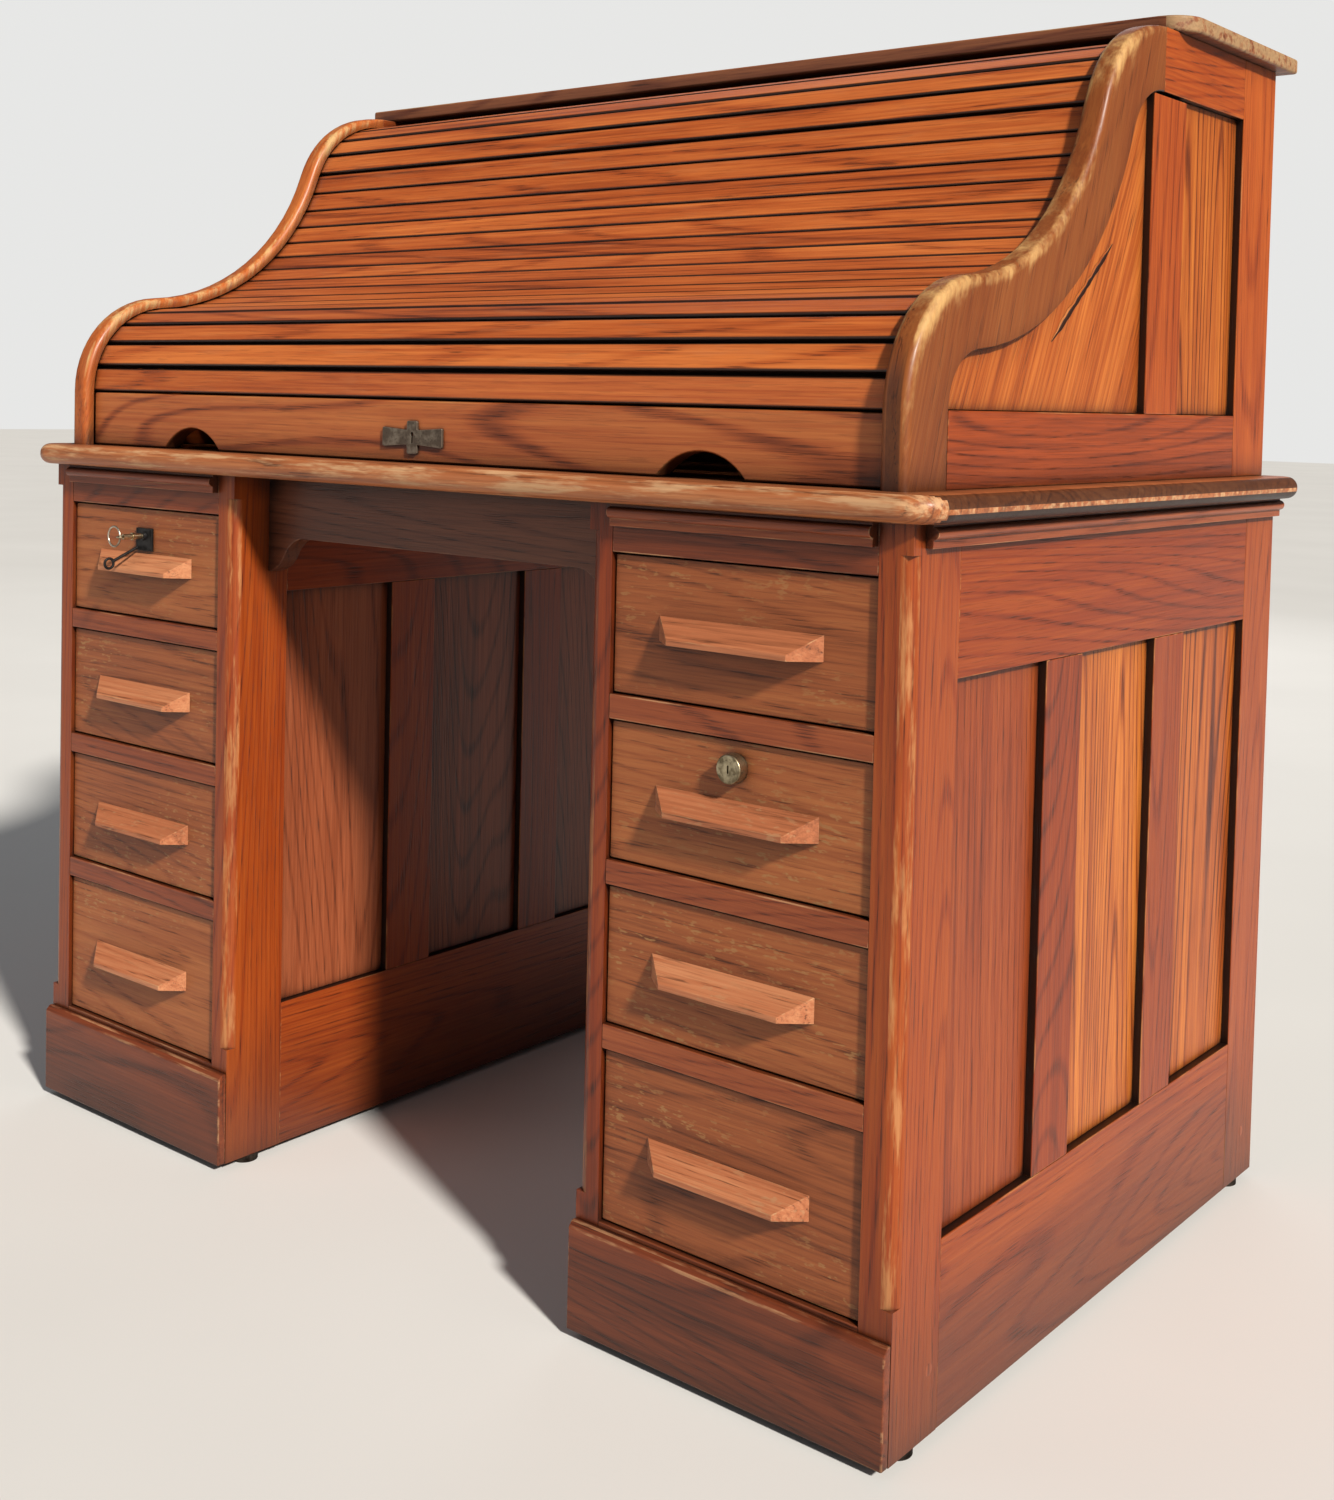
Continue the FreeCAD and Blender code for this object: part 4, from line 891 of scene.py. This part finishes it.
refine("writing_board", 0.0, 3, "oak_board", mark=mark_board)
top_board()
for side in SIDES:
    side_frame("outer_frame_" + side)
    side_frame("inner_frame_" + side)
    refine("front_rails_" + side, 1.2 * MM, 2, "oak_frame")
    refine("plinth_" + side, 1.6 * MM, 2, "oak_frame")
    upper_side(side)
    for row in range(1, 5):
        refine(f"drawer_{side}_{row}", 1.1 * MM, 2, "oak_drawer", change=drawer_finish)
        refine(f"pull_{side}_{row}", 0.9 * MM, 2, "oak_pull")
refine("kneehole_panels", 0.8 * MM, 1, "oak_knee", direction=ALONG_Z)
outer_panels()
upper_panels()
refine("mouldings", 1.2 * MM, 2, "oak_frame")
refine("kneehole_apron", 1.2 * MM, 2, "oak_apron_shaded")
for node in ("drawer_runners", "pedestal_backs", "upper_back", "false_back", "pigeonhole_case",
             "pigeonhole_dividers"):
    refine(node, 0.8 * MM, 1)
refine("curtain_rail", 2.0 * MM, 3, "oak_rail", direction=ALONG_X)
for node in sorted(name for name in NODES if name.startswith("slats_")):
    slats(node)
escutcheon()
for node in ("cylinder_lock", "lock_plate", "key", "key_ring", "hook", "feet"):
    refine(node, 0.4 * MM, 2)


# ---------------------------------------------------------------- floor, light, camera

def floor_material():
    t = Tree("PaleFloor")
    place = t.node("NewGeometry", out=0)
    cloud = t.noise(place, (1.2,) * 3, detail=3.0)
    grit = t.noise(place, (260.0,) * 3, detail=2.0)
    base = t.mix(cloud, srgb(214, 213, 210), srgb(226, 225, 222))
    return t.finish(Base_Color=base, Roughness=0.75, Normal=t.bump(grit, 0.08, 0.0004))


FLOOR_SIZE = 60
SKY_COLOR, SKY_STRENGTH = (0.86, 0.90, 0.96, 1.0), 0.13
BACKDROP_COLOR = (0.80, 0.80, 0.79, 1.0)
TOWARDS_SUN = (0.77, -0.29, 0.57)
SUN_STRENGTH, SUN_ANGLE, SUN_COLOR = 5.2, 5.0, (1.0, 0.95, 0.88)
# Area lights: name, place, target, size, power and colour.
AREA_LIGHTS = (("fill_light", (-3.0, -4.2, 2.6), (0, 0, 0.5), 3.2, 18, (0.95, 0.97, 1.0)),
               ("back_light", (-2.4, 4.4, 2.8), (0, 0, 0.6), 4.2, 40, (0.98, 0.98, 1.0)))
# The camera's axes and place, and its focal length and shift in pixels of a full-size image.
CAMERA_FORWARD, CAMERA_RIGHT = (-0.62997, 0.77566, -0.03877), (0.77547, 0.63096, 0.02297)
CAMERA_PLACE = (1.2964, -1.5421, 0.8358)
IMAGE_HEIGHT, FOCAL_PIXELS, SHIFT_PIXELS = 1500, 1796.7, 750 - 470
SENSOR_WIDTH = 36.0

bpy.ops.mesh.primitive_plane_add(size=FLOOR_SIZE, location=(0, 0, 0))
floor = bpy.context.object
floor.name = "floor_plane"
floor.data.materials.append(floor_material())

world = bpy.data.worlds.new("Studio")
bpy.context.scene.world = world
world.use_nodes = True
sky = world.node_tree
soft = sky.nodes["Background"]
soft.inputs[0].default_value = SKY_COLOR
soft.inputs[1].default_value = SKY_STRENGTH
backdrop = sky.nodes.new("ShaderNodeBackground")
backdrop.inputs[0].default_value = BACKDROP_COLOR
seen = sky.nodes.new("ShaderNodeLightPath")
either = sky.nodes.new("ShaderNodeMixShader")
sky.links.new(seen.outputs["Is Camera Ray"], either.inputs[0])
sky.links.new(soft.outputs[0], either.inputs[1])
sky.links.new(backdrop.outputs[0], either.inputs[2])
sky.links.new(either.outputs[0], sky.nodes["World Output"].inputs[0])


def light(name, kind, power, color, shine):
    """A lamp that shines along a direction; its shape is set on what this gives back."""
    data = bpy.data.lights.new(name, kind)
    data.energy = power
    data.color = color
    lamp = bpy.data.objects.new(name, data)
    bpy.context.scene.collection.objects.link(lamp)
    lamp.rotation_mode = "QUATERNION"
    lamp.rotation_quaternion = Vector(shine).to_track_quat("-Z", "Y")
    return lamp


def area_light(name, place, target, size, power, color):
    lamp = light(name, "AREA", power, color, Vector(target) - Vector(place))
    lamp.location = place
    lamp.data.shape = "DISK"
    lamp.data.size = size


key_light = light("key_light", "SUN", SUN_STRENGTH, SUN_COLOR, -Vector(TOWARDS_SUN))
key_light.data.angle = math.radians(SUN_ANGLE)
for settings in AREA_LIGHTS:
    area_light(*settings)

camera_data = bpy.data.cameras.new("camera")
camera = bpy.data.objects.new("camera", camera_data)
bpy.context.scene.collection.objects.link(camera)
forward = Vector(CAMERA_FORWARD).normalized()
right = Vector(CAMERA_RIGHT)
right = (right - forward * right.dot(forward)).normalized()
up = right.cross(forward)
pose = Matrix((right, up, -forward)).transposed().to_4x4()
pose.translation = Vector(CAMERA_PLACE)
camera.matrix_world = pose
camera_data.sensor_width = SENSOR_WIDTH
camera_data.lens = FOCAL_PIXELS / IMAGE_HEIGHT * SENSOR_WIDTH
camera_data.shift_y = -SHIFT_PIXELS / IMAGE_HEIGHT
camera_data.clip_start = 0.05
bpy.context.scene.camera = camera
bpy.context.scene.view_settings.view_transform = "Standard"
